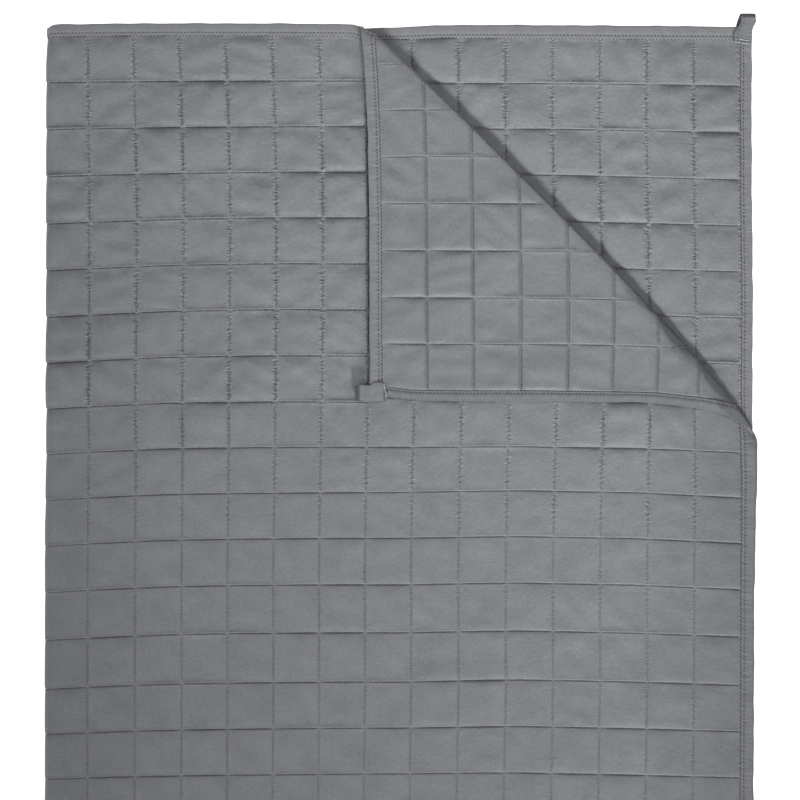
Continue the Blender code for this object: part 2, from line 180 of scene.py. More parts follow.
def uneven(x, y):
    """A point's place in the flat cloth once the rows bow and the edges wave."""
    side = np.abs(x)
    from_head = -y
    to_fold = ((BOW_CENTRE - side) / BOW_CENTRE) ** 2
    to_edge = BOW_AT_EDGE * ((side - BOW_CENTRE) / (HALF_WIDTH - BOW_CENTRE)) ** 2
    across = np.where(side < BOW_CENTRE, to_fold, to_edge)
    along = smooth_step(from_head / BOW_BUILDS_OVER)
    along = along * smooth_step((LENGTH - from_head) / BOW_FADES_OVER)
    share = (side / HALF_WIDTH) ** 2
    wave = EDGE_WAVE * share * np.sin(2 * np.pi * from_head / EDGE_WAVE_LENGTH)
    head = HEAD_WAVE * np.cos(2 * np.pi * side / HEAD_WAVE_LENGTH)
    under = np.where(x < 0, share, 0.0)
    dx = np.where(x > 0, wave, -wave) + UNDER_SKEW[0] * under
    dy = head - BOW * across * along + UNDER_SKEW[1] * under
    sideways, down = creep(x, y)
    return x + dx + np.sign(x) * sideways, y + dy - down


def even(x, y):
    """The other way: a point's place before the rows bow. A few guesses come close enough."""
    guess_x = x
    guess_y = y
    for _ in range(GUESSES):
        moved_x, moved_y = uneven(guess_x, guess_y)
        guess_x = guess_x + x - moved_x
        guess_y = guess_y + y - moved_y
    return guess_x, guess_y


far_edge = np.array([HALF_WIDTH]), np.array([-LENGTH / 2])
moved = uneven(*far_edge)[0] - far_edge[0]
print(f"halfway down, the far edge moves {moved[0] / MM:+.1f} mm sideways")

# %% [markdown]
# ## Two folds
#
# A fold in thick cloth is a half turn with a radius, not a knife edge. The long fold runs down
# x = 0 and closes on the inner face. The corner's crease runs at 45 degrees, bends a little at
# both ends, and closes on the outer face. A point is carried round by how far past the start of
# the turn it lies, and by how high over the cloth's middle it is.

# %% Carry points round the two folds
CREASE = 339.9 * MM
# In millimetres: a place along the crease, and how far the crease lies off its straight line there.
CREASE_BENDS = (
    (237.6, 5.5), (267.6, 3.0), (317.6, 1.1), (387.6, 0.0), (565.0, 0.0),
    (645.0, 0.9), (725.0, 3.6), (775.0, 8.4), (805.0, 14.2), (824.6, 20.0),
)
BEND_SOFTENED_OVER = 12.0 * MM
FLAP_SLIDE = 6.1 * MM
# The crease dips where it meets the head edge: how deep, where, and over how much cloth each way.
DIP = 5.6 * MM
DIP_PLACE = (331.0 * MM, -4.0 * MM)
DIP_REACH = (7.5 * MM, 26.0 * MM)
# A place along the crease, the share of its height that the roll loses there, and over how much
# cloth. Places and lengths are in millimetres.
ROLL_PRESSED = (
    (0, 0.16, 12), (590, 0.16, 12), (674, 0.66, 9), (706, 0.78, 17),
    (737, 0.74, 9), (772, 0.78, 18), (820, 0.78, 15),
)
ROLL_SOFTENED_OVER = 8.0 * MM
ROLL_SLOPE = (2.0, 1.25)
ROLL_RESTS_AT = 7.0 * MM
# The corner at the fold and the head edge: how far it's rounded, and over how much cloth each way.
CORNER_ROUND = (3.6 * MM, 3.2 * MM, 9.0 * MM)
# A seam drawn up under the flap's foot: how far, at which height, its reach, from where it starts.
SEAM_UP = (4.6 * MM, -398.5 * MM, 15.0 * MM)
SEAM_UP_FROM = (330.0 * MM, 26.0 * MM)
# The flap's foot drawn up beside its corner loop: how far, where, over how much cloth each way,
# and over how much it starts.
FLAP_UP = (4.2 * MM, 351.6 * MM, 22.0 * MM, 24.0 * MM, 4.0 * MM)
# The long fold lies further out than true: everywhere, and how much more from there on.
FOLD_OUT = (1.2 * MM, 1.6 * MM)
FOLD_OUT_FROM = (0.42, 0.15)
FOLD_OUT_STARTS_OVER = 0.05
FOLD_OUT_REACH = 0.08
SOFTENING_STEPS = 5
DIAGONAL = np.sqrt(0.5)


def softened(along, places, values, over):
    """Values read from a table, softened so that they change without corners."""
    shifts = np.linspace(-over, over, SOFTENING_STEPS)
    return sum(np.interp(along + shift, places, values) for shift in shifts) / len(shifts)


def crease_bend(along):
    """How far the crease lies off its line."""
    return softened(along, *np.transpose(CREASE_BENDS) * MM, BEND_SOFTENED_OVER)


def roll_kept(along, from_top):
    """Share of its height that the crease's roll keeps, at a distance from the top of its turn."""
    places, shares, reaches = np.transpose(ROLL_PRESSED)
    lost = softened(along, places * MM, shares, ROLL_SOFTENED_OVER)
    reach = softened(along, places * MM, reaches * MM, ROLL_SOFTENED_OVER)
    power = np.interp(lost, (shares[0], shares[-1]), ROLL_SLOPE)
    return 1 - lost * (1 - np.minimum(from_top / reach, 1)) ** power


def bell(value, middle, reach):
    """One at the middle, and next to nothing at twice the reach on both sides of it."""
    return np.exp(-(((value - middle) / reach) ** 2))


def along_crease(x, y):
    return (x - HALF_TURN / 2 - y) * DIAGONAL


def past_crease(x, y):
    """How far a point lies past the start of the corner's turn."""
    across = (x - HALF_TURN / 2 + y) * DIAGONAL
    return across - CREASE * DIAGONAL + crease_bend(along_crease(x, y)) + HALF_TURN / 2


def round_turn(travel, offset):
    """Distance out and height of a point carried round a half turn that starts flat."""
    angle = np.clip(travel / TURN_RADIUS, 0, np.pi)
    radius = TURN_RADIUS - offset
    beyond = np.maximum(travel - HALF_TURN, 0)
    out = radius * np.sin(angle) + np.minimum(travel, 0) - beyond
    return out, TURN_RADIUS - radius * np.cos(angle)


def lay(x, y, z):
    """Carries points of the uneven flat cloth to where they lie in the frame."""
    fold_out, fold_height = round_turn(x + HALF_TURN / 2, -z)
    past = past_crease(x, y)
    out, height = round_turn(past, z)
    along = along_crease(x, y) - FLAP_SLIDE * np.clip(past / HALF_TURN, 0, 1)
    across = out + CREASE * DIAGONAL - crease_bend(along) - HALF_TURN / 2
    is_under = x < HALF_TURN / 2
    laid_x = np.where(is_under, -fold_out, (across + along) * DIAGONAL)
    laid_y = np.where(is_under, y, (across - along) * DIAGONAL)
    laid_z = np.where(is_under, UNDER_LEVEL + fold_height, OVER_LEVEL + height)

    lost = 1 - roll_kept(along, np.abs(past - HALF_TURN / 2))
    lost = lost * np.maximum(laid_z - ROLL_RESTS_AT, 0)
    laid_z = laid_z - np.where(is_under, 0.0, lost)
    pulled = FOLD_OUT[0] + FOLD_OUT[1] * smooth_step((-laid_y - FOLD_OUT_FROM[0]) / FOLD_OUT_FROM[1])
    pulled = pulled * smooth_step(-laid_y / FOLD_OUT_STARTS_OVER)
    laid_x = laid_x - pulled * np.exp(-laid_x / FOLD_OUT_REACH)
    into_corner = np.exp(-(laid_x + TURN_RADIUS) / CORNER_ROUND[1] + laid_y / CORNER_ROUND[2])
    laid_y = laid_y - CORNER_ROUND[0] * np.minimum(into_corner, 1)
    dip = DIP * bell(laid_x, DIP_PLACE[0], DIP_REACH[0]) * bell(laid_y, DIP_PLACE[1], DIP_REACH[1])
    laid_y = laid_y - np.where(is_under, 0.0, dip)

    seam_up, seam_level, seam_reach = SEAM_UP
    seam_up = seam_up * smooth_step((laid_x - SEAM_UP_FROM[0]) / SEAM_UP_FROM[1])
    seam_up = seam_up * smooth_step(-past / SEAM_UP_FROM[1]) * bell(laid_y, seam_level, seam_reach)
    flap_up, flap_start, flap_across, flap_down, starts_over = FLAP_UP
    flap_up = flap_up * smooth_step((laid_x - flap_start) / starts_over)
    flap_up = flap_up * bell(laid_x, flap_start, flap_across) * bell(laid_y, seam_level, flap_down)
    laid_y = laid_y + np.where(is_under, 0.0, np.where(past > HALF_TURN, flap_up, seam_up))
    return np.stack([laid_x, laid_y, laid_z], axis=-1) + CLOTH_ORIGIN


def folded(x, y, z):
    """Carries points all the way, from the true flat cloth to the frame."""
    bowed_x, bowed_y = uneven(x, y)
    return lay(bowed_x, bowed_y, z)


corner = folded(np.array([HALF_WIDTH]), np.array([0.0]), np.array([0.0]))[0]
print("the turned corner's tip lies at", [round(float(value), 4) for value in corner])

# %% [markdown]
# ## The camera
#
# The blanket is shown from straight above, so the camera looks down and needs no turning. A long
# lens from far off keeps the rows parallel. Its sensor is as wide as the picture, so the lens
# follows from the distance and from how much cloth the picture takes in.

# %% Look straight down
CAMERA_HEIGHT = 3.0
TOP_SURFACE = 13.0 * MM
SEEN_WIDTH = 844.6 * MM
SENSOR = 36.0
SEEN_CENTRE = (0.69 * MM, 591.58 * MM)

camera_data = bpy.data.cameras.new("overhead_camera")
camera_data.sensor_width = SENSOR
camera_data.lens = SENSOR * CAMERA_HEIGHT / SEEN_WIDTH
camera = bpy.data.objects.new("overhead_camera", camera_data)
camera.location = (*SEEN_CENTRE, TOP_SURFACE + CAMERA_HEIGHT)
bpy.context.scene.collection.objects.link(camera)
bpy.context.scene.camera = camera
print(f"lens: {camera_data.lens:.1f} mm, {CAMERA_HEIGHT} m over the cloth")

# %% [markdown]
# ## Light and floor
#
# Quilting shows only if light rakes across it. The main light is a far spot, low beyond the foot
# and to the right. Three weak suns fill in: one for the roll of the crease, and one from each side
# for the upright seams. A soft light lifts the head end, and a faint sky keeps shadows open. The
# floor is a plain pale sheet that glows a little, so that it stays clean.

# %% Place the lights
# Name, strength, softness, height over the horizon and turn, in degrees. A turn above nought
# brings the light from the right, one below it from the left, and nought from beyond the foot.
SUNS = (
    ("crease_light", 0.48, 6, 45, -40),
    ("right_light", 0.86, 26, 31, 62),
    ("left_light", 1.12, 30, 35, -80),
)
SKY_STRENGTH = 0.006
SKY_COLOUR = (0.97, 0.985, 1.0, 1)
HEAD_LIGHT_PLACE = (0.1, 1.0, 1.3)
HEAD_LIGHT_AIM = (0.1, 0.9, 0.0)
HEAD_LIGHT_SIZE = 0.8
HEAD_LIGHT_POWER = 5.2
MAIN_LIGHT_PLACE = (1.589, -4.545, 2.44)
MAIN_LIGHT_AIM = (0.12, 1.1, 0.0)
MAIN_LIGHT_POWER = 1840.0
MAIN_LIGHT_CONE = np.radians(15)
MAIN_LIGHT_SIZE = 0.42


def add_light(name, kind, power, **settings):
    data = bpy.data.lights.new(name, kind)
    data.energy = power
    for setting, value in settings.items():
        setattr(data, setting, value)
    light = bpy.data.objects.new(name, data)
    bpy.context.scene.collection.objects.link(light)
    return light


def aim(light, place, target):
    light.location = place
    light.rotation_euler = (Vector(place) - Vector(target)).to_track_quat("Z", "Y").to_euler()


for name, strength, softness, height, turn in SUNS:
    sun = add_light(name, "SUN", strength, angle=np.radians(softness))
    sun.rotation_euler = (np.radians(90 - height), 0.0, np.radians(turn))

head_light = add_light("head_end_light", "AREA", HEAD_LIGHT_POWER, shape="DISK", size=HEAD_LIGHT_SIZE)
aim(head_light, HEAD_LIGHT_PLACE, HEAD_LIGHT_AIM)
main_light = add_light("main_light", "SPOT", MAIN_LIGHT_POWER, shadow_soft_size=MAIN_LIGHT_SIZE)
main_light.data.spot_size = MAIN_LIGHT_CONE
main_light.data.spot_blend = 1.0
aim(main_light, MAIN_LIGHT_PLACE, MAIN_LIGHT_AIM)

sky = bpy.data.worlds.new("studio_sky")
sky.use_nodes = True
sky.node_tree.nodes["Background"].inputs["Color"].default_value = SKY_COLOUR
sky.node_tree.nodes["Background"].inputs["Strength"].default_value = SKY_STRENGTH
bpy.context.scene.world = sky
bpy.context.scene.view_settings.view_transform = "Standard"
print("lights:", [light.name for light in bpy.data.lights])

# %% Lay the floor
FLOOR_HALF = 60.0
FLOOR_BELOW = 0.3 * MM
FLOOR_GREY = 0.9
FLOOR_ROUGHNESS = 0.9
FLOOR_GLOW = 0.95
SQUARE = ((-1, -1), (1, -1), (1, 1), (-1, 1))

floor_mesh = bpy.data.meshes.new("studio_floor")
floor_corners = [(x * FLOOR_HALF, y * FLOOR_HALF, -FLOOR_BELOW) for x, y in SQUARE]
floor_mesh.from_pydata(floor_corners, [], [(0, 1, 2, 3)])
floor = bpy.data.objects.new("studio_floor", floor_mesh)
bpy.context.scene.collection.objects.link(floor)

floor_paint = bpy.data.materials.new("studio_floor_paint")
floor_paint.use_nodes = True
floor_shader = floor_paint.node_tree.nodes["Principled BSDF"]
floor_shader.inputs["Base Color"].default_value = (FLOOR_GREY, FLOOR_GREY, FLOOR_GREY, 1)
floor_shader.inputs["Roughness"].default_value = FLOOR_ROUGHNESS
floor_shader.inputs["Emission Color"].default_value = (1, 1, 1, 1)
floor_shader.inputs["Emission Strength"].default_value = FLOOR_GLOW
floor_mesh.materials.append(floor_paint)
print("floor laid under", floor.name)

# %% [markdown]
# ## The shape of one cell
#
# Each cell is a little pillow, but not an even one. The filling slides towards the foot of the
# cell, so the cloth climbs slowly from the seam above and drops fast at the seam below. We make
# the height from four factors, one for each side of the cell: each rises from nothing on the seam
# to one in the middle, partly within a millimetre and partly over a long slope. A table holds
# these numbers for each side, and a blend between tables turns the steep cells near the head
# into the flat ones below.

# %% Find the cell that a point lies in
COLUMN_SEAMS = FOLD_COLUMN + COLUMN * np.arange(COLUMNS_EACH_SIDE)
COLUMN_EDGES = np.concatenate([[0], COLUMN_SEAMS, [HALF_WIDTH]])
ROW_EDGES = np.concatenate([[0], BINDING + ROW * np.arange(ROWS + 1), [LENGTH]])


def place_in(edges, place):
    """Index of the strip between two seams, and the distances to the seam before and after."""
    index = np.clip(np.searchsorted(edges, place, side="right") - 1, 0, len(edges) - 2)
    return index, np.maximum(place - edges[index], 0), np.maximum(edges[index + 1] - place, 0)


print("seams across the cloth:", len(ROW_EDGES) - 2, "and along each half:", len(COLUMN_EDGES) - 2)

# %% How soon the cloth rises from each side of a cell
SEAM_HALF = 0.6 * MM
CROWN_SHOWN = 2.5 * MM
CROWN_AT_FOOT = 1.7 * MM
CROWN_ON_FLAP = 1.3 * MM
CROWN_HIDDEN = 2.2 * MM
FOLD_KEEPS = 0.45
FOLD_RISE = 6.0 * MM
HEAD_STYLE_ENDS = (0.36, 0.50)

# The sides in turn are the fold side, far side, head side and foot side. For each: the share that
# rises at once, how many millimetres that takes, and the length of the slope in millimetres.
HEAD_CELLS = ((0.35, 0.5, 19), (0.68, 0.45, 12), (0.30, 0.5, 27), (0.84, 0.4, 10))
FOOT_CELLS = ((0.35, 0.5, 24), (0.68, 0.45, 14), (0.66, 0.4, 14), (0.90, 0.45, 8))
FLAP_CELLS = ((0.8, 0.45, 10), (0.95, 0.4, 8), (0.45, 0.5, 12), (0.92, 0.3, 6))


def risen(distance, share_at_once, steep, slope):
    at_once = 1 - np.exp(-distance / (steep * MM))
    slowly = 1 - (1 - np.minimum(distance / (slope * MM), 1)) ** 2
    return share_at_once * at_once + (1 - share_at_once) * slowly


def pillow(distances, style):
    height = 1.0
    for distance, side in zip(distances, style):
        height = height * risen(distance, *side)
    return height


print("crown over a seam, mm:", [round(crown / MM, 1) for crown in (CROWN_SHOWN, CROWN_AT_FOOT)])

# %% Small dents that differ from cell to cell
SEED = 41
DENTS = 3
DENT_HEIGHT = 0.22 * MM
DENT_SHARES = (0.3, 1.0)
DENTS_AT_HEAD = 2.8
DENTS_AT_FOOT = 1.35
DENT_LENGTHS = (16 * MM, 42 * MM)
DENT_STARTS_OVER = 9.0 * MM
CROWN_VARIES = 0.14
CORNER_PULL = 0.75 * MM
CORNER_SHARES = (0.1, 0.7)
CORNER_REACH = 15.0 * MM
PULL_STARTS_OVER = 2.0 * MM

random = np.random.default_rng(SEED)
table = (2, 2, COLUMNS_EACH_SIDE + 1, ROWS + 2)
dent_turn = random.uniform(0, np.pi, (*table, DENTS))
dent_phase = random.uniform(0, 2 * np.pi, (*table, DENTS))
dent_length = random.uniform(*DENT_LENGTHS, (*table, DENTS))
dent_height = random.uniform(*DENT_SHARES, (*table, DENTS)) * DENT_HEIGHT
crown_share = 1 + CROWN_VARIES * random.uniform(-1, 1, table)
corner_share = random.uniform(*CORNER_SHARES, table)


def dents(cell, across, down, edge):
    """Height of a cell's dents at a place in it. They fade out near its seams."""
    total = 0.0
    for i in range(DENTS):
        which = (*cell, i)
        travel = across * np.cos(dent_turn[which]) + down * np.sin(dent_turn[which])
        wave = np.sin(2 * np.pi * travel / dent_length[which] + dent_phase[which])
        total = total + dent_height[which] * wave
    return total * smooth_step(edge / DENT_STARTS_OVER)


print("cells with dents of their own:", crown_share.size)

# %% Put the height of the cloth together
FLAP_LEFT = CREASE + HALF_TURN / 2
FLAP_FOOT = CREASE - HALF_WIDTH
HIDDEN_BY = 10.0 * MM
# How deep the flap's foot presses the cloth beside it, over how much of it, and from where.
PRESSED_BY_FLAP = (0.75 * MM, 5.0 * MM, -402.5 * MM)
# Waves in the whole blanket: length in metres, direction and phase in radians.
SWELLS = ((0.31, 0.9, 0.4), (0.19, -0.5, 2.1), (0.13, 2.2, 4.0))
SWELL = 0.25 * MM
SWELL_STARTS_OVER = 4.0 * MM
ROLL_TIGHT = 0.85
ROLL_TIGHT_OVER = (11.0 * MM, 24.0 * MM)
ROLL_WIDENS = (0.45, 0.35)


def is_covered(x, y, outer):
    """Whether another layer lies over that face of the cloth."""
    under_flap = (x > FLAP_LEFT + HIDDEN_BY) & (y > FLAP_FOOT + HIDDEN_BY)
    before_crease = np.abs(x) + y < CREASE - HIDDEN_BY
    return np.where(outer, (x < 0) | under_flap, before_crease)


def swell(x, y):
    """Long, low waves in the whole blanket."""
    total = 0.0
    for length, turn, phase in SWELLS:
        total = total + np.sin(2 * np.pi * (x * np.cos(turn) + y * np.sin(turn)) / length + phase)
    return SWELL * total


def round_crease(x, y):
    """How much of its height the cloth keeps where it's drawn tight over the crease's roll."""
    bowed = uneven(x, y)
    past = np.maximum(past_crease(*bowed) - HALF_TURN, 0)
    widens = smooth_step((along_crease(*bowed) - ROLL_WIDENS[0]) / ROLL_WIDENS[1])
    over = ROLL_TIGHT_OVER[0] + (ROLL_TIGHT_OVER[1] - ROLL_TIGHT_OVER[0]) * widens
    return 1 - ROLL_TIGHT * (1 - smooth_step(past / over))


def even_height(column, distances, side, on_flap, head_like):
    """Height of a cell's pillow at a place, as a share of its crown."""
    shape = pillow(distances, HEAD_CELLS) * head_like + pillow(distances, FOOT_CELLS) * (1 - head_like)
    shape = np.where(on_flap, pillow(distances, FLAP_CELLS), shape)
    at_fold = FOLD_KEEPS + (1 - FOLD_KEEPS) * (1 - np.exp(-side / FOLD_RISE))
    return np.where(column == 0, pillow(distances[1:], HEAD_CELLS[1:]) * at_fold, shape)


def cloth_height(x, y, outer):
    """Height over the cloth's middle, on its outer or on its inner face."""
    side = np.abs(x)
    column, to_fold, to_far = place_in(COLUMN_EDGES, side)
    row, to_head, to_foot = place_in(ROW_EDGES, -y)
    cell = (outer.astype(int), (x > 0).astype(int), column, row)
    distances = (to_fold, to_far, to_head, to_foot)
    edge = np.minimum.reduce(distances)
    on_flap = ~outer & (x > 0)
    covered = is_covered(x, y, outer)
    head_like = 1 - smooth_step((-y - HEAD_STYLE_ENDS[0]) / (HEAD_STYLE_ENDS[1] - HEAD_STYLE_ENDS[0]))

    crown = CROWN_AT_FOOT + (CROWN_SHOWN - CROWN_AT_FOOT) * head_like
    crown = np.where(on_flap, CROWN_ON_FLAP, crown) * crown_share[cell]
    crown = np.where(covered, CROWN_HIDDEN, crown)
    height = SEAM_HALF + crown * even_height(column, distances, side, on_flap, head_like)
    pull = np.where(row == 1, 1.0, corner_share[cell]) * head_like
    pull = pull * CORNER_PULL * np.exp(-(to_fold + to_head) / CORNER_REACH)
    detail = dents(cell, to_fold, to_head, edge) - pull * smooth_step(edge / PULL_STARTS_OVER)
    detail = detail + swell(x, y) * smooth_step(edge / SWELL_STARTS_OVER)
    pressed, pressed_over, pressed_from = PRESSED_BY_FLAP
    below_flap = np.where(outer & (x > FLAP_LEFT), np.maximum(pressed_from - y, 0), 1.0)
    detail = detail - pressed * np.exp(-below_flap / pressed_over)
    detail = detail * (DENTS_AT_FOOT + (DENTS_AT_HEAD - DENTS_AT_FOOT) * head_like)
    height = height + np.where(covered, 0.0, detail)
    height = height * np.where(on_flap, round_crease(x, y), 1.0)
    in_binding = (column == COLUMNS_EACH_SIDE) | (row == 0) | (row == ROWS + 1)
    return np.where(in_binding, SEAM_HALF, np.maximum(height, SEAM_HALF))


mid_cell = np.array([FOLD_COLUMN + COLUMN / 2]), np.array([-BINDING - (ROWS + 1) / 2 * ROW])
print(f"a cell halfway down stands {cloth_height(*mid_cell, np.array([True]))[0] / MM:.2f} mm high")

# %% [markdown]
# ## Meshing the quilt
#
# A grid carries the cells. Its lines crowd together at the seams, where the cloth turns sharply,
# and lie far apart where it's smooth. Each part of the quilt has two such grids, for its outer
# and its inner cloth, and walls that join them all round, so that it's one closed, filled form.
# Where a grid crosses the turned corner's crease, we cut it along lines parallel to the crease,
# so that the roll is smooth and not stepped.

# %% Lines of the grid
FINE_STEPS = (0, 0.4, 0.95, 2.0, 4.2, 8.0, 13.5, 19)
MIDDLE_STEPS = (0, 0.45, 1.1, 3.2, 8.5, 16)
COARSE_STEPS = (0, 9)
PLAIN_STEPS = (0,)
FOLD_LINES = 11


def shares(steps):
    """Places of the lines across one cell, as shares of its width, the same from both sides."""
    half = np.array(steps) * MM / COLUMN
    return np.concatenate([half, [0.5], 1 - half[:0:-1]])


def grid_lines(edges, steps_of_strip):
    lines = []
    for start, end, steps in zip(edges[:-1], edges[1:], steps_of_strip):
        lines.extend(start + (end - start) * shares(steps))
    return np.array([*lines, edges[-1]])


print("lines across a fine cell:", len(shares(FINE_STEPS)))

# %% One grid, and the wall between two grids


def grid(x_lines, y_lines, z, first):
    """Points and four-sided faces of a flat grid, numbered from first."""
    x, y = np.meshgrid(x_lines, y_lines)
    points = np.stack([x.ravel(), y.ravel(), np.full(x.size, z)], axis=1)
    number = np.arange(x.size).reshape(x.shape) + first
    corners = (number[:-1, :-1], number[:-1, 1:], number[1:, 1:], number[1:, :-1])
    return points, np.stack([c.ravel() for c in corners], axis=1).tolist(), number


def wall(first, first_places, second, second_places):
    """Triangles between two rows of points that run side by side."""
    faces = []
    i = j = 0
    while i < len(first) - 1 or j < len(second) - 1:
        second_done = j == len(second) - 1
        if second_done or (i < len(first) - 1 and first_places[i + 1] <= second_places[j + 1]):
            faces.append((first[i], first[i + 1], second[j]))
            i += 1
        else:
            faces.append((first[i], second[j + 1], second[j]))
            j += 1
    return faces


def closed_form(outer_lines, inner_lines):
    """Both grids and the four walls, and how many faces belong to the grids."""
    outer_points, outer_faces, outer = grid(*outer_lines, MM, 0)
    inner_points, inner_faces, inner = grid(*inner_lines, -MM, len(outer_points))
    walls = []
    for pick in ((0, slice(None)), (-1, slice(None))):
        walls += wall(outer[pick].tolist(), outer_lines[0], inner[pick].tolist(), inner_lines[0])
    for pick in ((slice(None), 0), (slice(None), -1)):
        walls += wall(outer[pick].tolist(), -outer_lines[1], inner[pick].tolist(), -inner_lines[1])
    points = np.concatenate([outer_points, inner_points])
    return points, outer_faces + inner_faces + walls, len(outer_faces) + len(inner_faces)


plainest = (np.array([0.0, 1.0]), np.array([0.0, -1.0]))
print("faces of the plainest closed form:", len(closed_form(plainest, plainest)[1]))

# %% Cut a grid along the crease
CREASE_LINES = 12
CREASE_MARGIN = 8.0 * MM
CUT_TOLERANCE = MM / 1000


def straighten(points, way):
    """Moves points across the crease so that its bent ends lie on its line, or back again."""
    shift = way * crease_bend(along_crease(points[:, 0], points[:, 1])) * DIAGONAL
    points[:, 0] += shift
    points[:, 1] += shift


def cut_round_crease(bm):
    start = CREASE * DIAGONAL - HALF_TURN / 2
    across = Vector((DIAGONAL, DIAGONAL, 0))
    fold_edge = Vector((HALF_TURN / 2, 0, 0))
    faces = []
    for face in bm.faces:
        past = (face.verts[0].co - fold_edge).dot(across) - start
        if -CREASE_MARGIN < past < HALF_TURN + CREASE_MARGIN and face.verts[0].co.x > HALF_TURN:
            faces.append(face)
    edges = {edge for face in faces for edge in face.edges}
    verts = {vert for face in faces for vert in face.verts}
    geom = [*faces, *edges, *verts]
    for travel in np.linspace(0, HALF_TURN, CREASE_LINES):
        place = fold_edge + across * (start + travel)
        cut = bmesh.ops.bisect_plane(bm, geom=geom, dist=CUT_TOLERANCE, plane_co=place, plane_no=across)
        geom = cut["geom"]


print(f"the crease takes {CREASE_LINES} cuts over {HALF_TURN / MM:.1f} mm of cloth")

# %% Build one part of the quilt
WALL_TAG = 1
# Added to the columns of the turned corner, so that a finish can tell it from the rest.
TURNED_MARK = 64


def new_mesh(name, points, faces):
    mesh = bpy.data.meshes.new(name)
    mesh.from_pydata(points.tolist(), [], faces)
    mesh.shade_smooth()
    return mesh


def write_map(mesh, name, *numbers):
    """Writes two numbers for each point of a mesh into a map that its finish can read."""
    corners = np.empty(len(mesh.loops), int)
    mesh.loops.foreach_get("vertex_index", corners)
    places = np.stack(numbers, axis=1)[corners].astype(np.float32)
    mesh.uv_layers.new(name=name).data.foreach_set("uv", places.ravel())


def finish_mesh(mesh, material):
    """Makes a mesh a piece of the blanket, which rides on its one body."""
    mesh.materials.append(material)
    piece = bpy.data.objects.new(mesh.name, mesh)
    bpy.context.scene.collection.objects.link(piece)
    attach(piece, "root")
    print(piece.name, "has", sum(len(face.vertices) - 2 for face in mesh.polygons), "triangles")
    return piece


def quilt_mesh(name, outer_lines, inner_lines, crosses_crease):
    points, faces, of_grids = closed_form(outer_lines, inner_lines)
    points[:, 0], points[:, 1] = uneven(points[:, 0], points[:, 1])
    straighten(points, 1)
    mesh = new_mesh(name, points, faces)
    bm = bmesh.new()
    bm.from_mesh(mesh)
    bm.faces.ensure_lookup_table()
    for face in bm.faces[of_grids:]:
        face.material_index = WALL_TAG
    if crosses_crease:
        cut_round_crease(bm)
    for edge in bm.edges:
        edge.smooth = len({face.material_index for face in edge.link_faces}) < 2
    for face in bm.faces:
        face.smooth = True
        face.material_index = 0
    bmesh.ops.recalc_face_normals(bm, faces=bm.faces)
    bm.to_mesh(mesh)
    bm.free()
    points = np.empty(len(mesh.vertices) * 3)
    mesh.vertices.foreach_get("co", points)
    points = points.reshape(-1, 3)
    straighten(points, -1)
    flat_x, flat_y, height = points.T
    x, y = even(flat_x, flat_y)
    outer = height > 0
    laid = lay(flat_x, flat_y, cloth_height(x, y, outer) * height / MM)
    mesh.vertices.foreach_set("co", laid.astype(np.float32).ravel())
    mesh.update()
    # One map counts cells, with a seam at each whole number; the other says where the crease is.
    across = (np.abs(x) - FOLD_COLUMN) / COLUMN + np.where(~outer & (x > 0), TURNED_MARK, 0)
    write_map(mesh, "cells", across, (-y - BINDING) / ROW)
    bowed = uneven(x, y)
    write_map(mesh, "crease", along_crease(*bowed), past_crease(*bowed) - HALF_TURN / 2)
    return mesh


print("the turned corner's columns are counted from", TURNED_MARK)

# %% [markdown]
# ## The finish of the quilt's cloth
#
# The cloth is a smooth, tightly woven grey with a faint silk-like sheen. Four things make it look
# sewn and not moulded: puckers that run out from each seam, painted shade in thin creases beside
# the seams, a fine weave, and small changes of tone where the cloth has been handled. More light
# and shade is painted into its colour: painted shade in the puckers' valleys, a painted highlight
# on their ridges, and soft painted shades at both sides, below slack seams, and where the crease's
# roll turns under. All of it comes from the two maps, so it stays on the seams wherever the cloth
# is folded. The helpers below let us write a finish as plain sums, and each sum adds its nodes to
# the material.

# %% Helpers for node materials


class Value:
    """A number that a finish works out at every place. It adds and multiplies like any other."""

    def __init__(self, nodes, socket):
        self.nodes = nodes
        self.socket = socket

    def __add__(self, other):
        return self.nodes.math("ADD", self, other)

    def __sub__(self, other):
        return self.nodes.math("SUBTRACT", self, other)

    def __mul__(self, other):
        return self.nodes.math("MULTIPLY", self, other)

    def __truediv__(self, other):
        return self.nodes.math("DIVIDE", self, other)


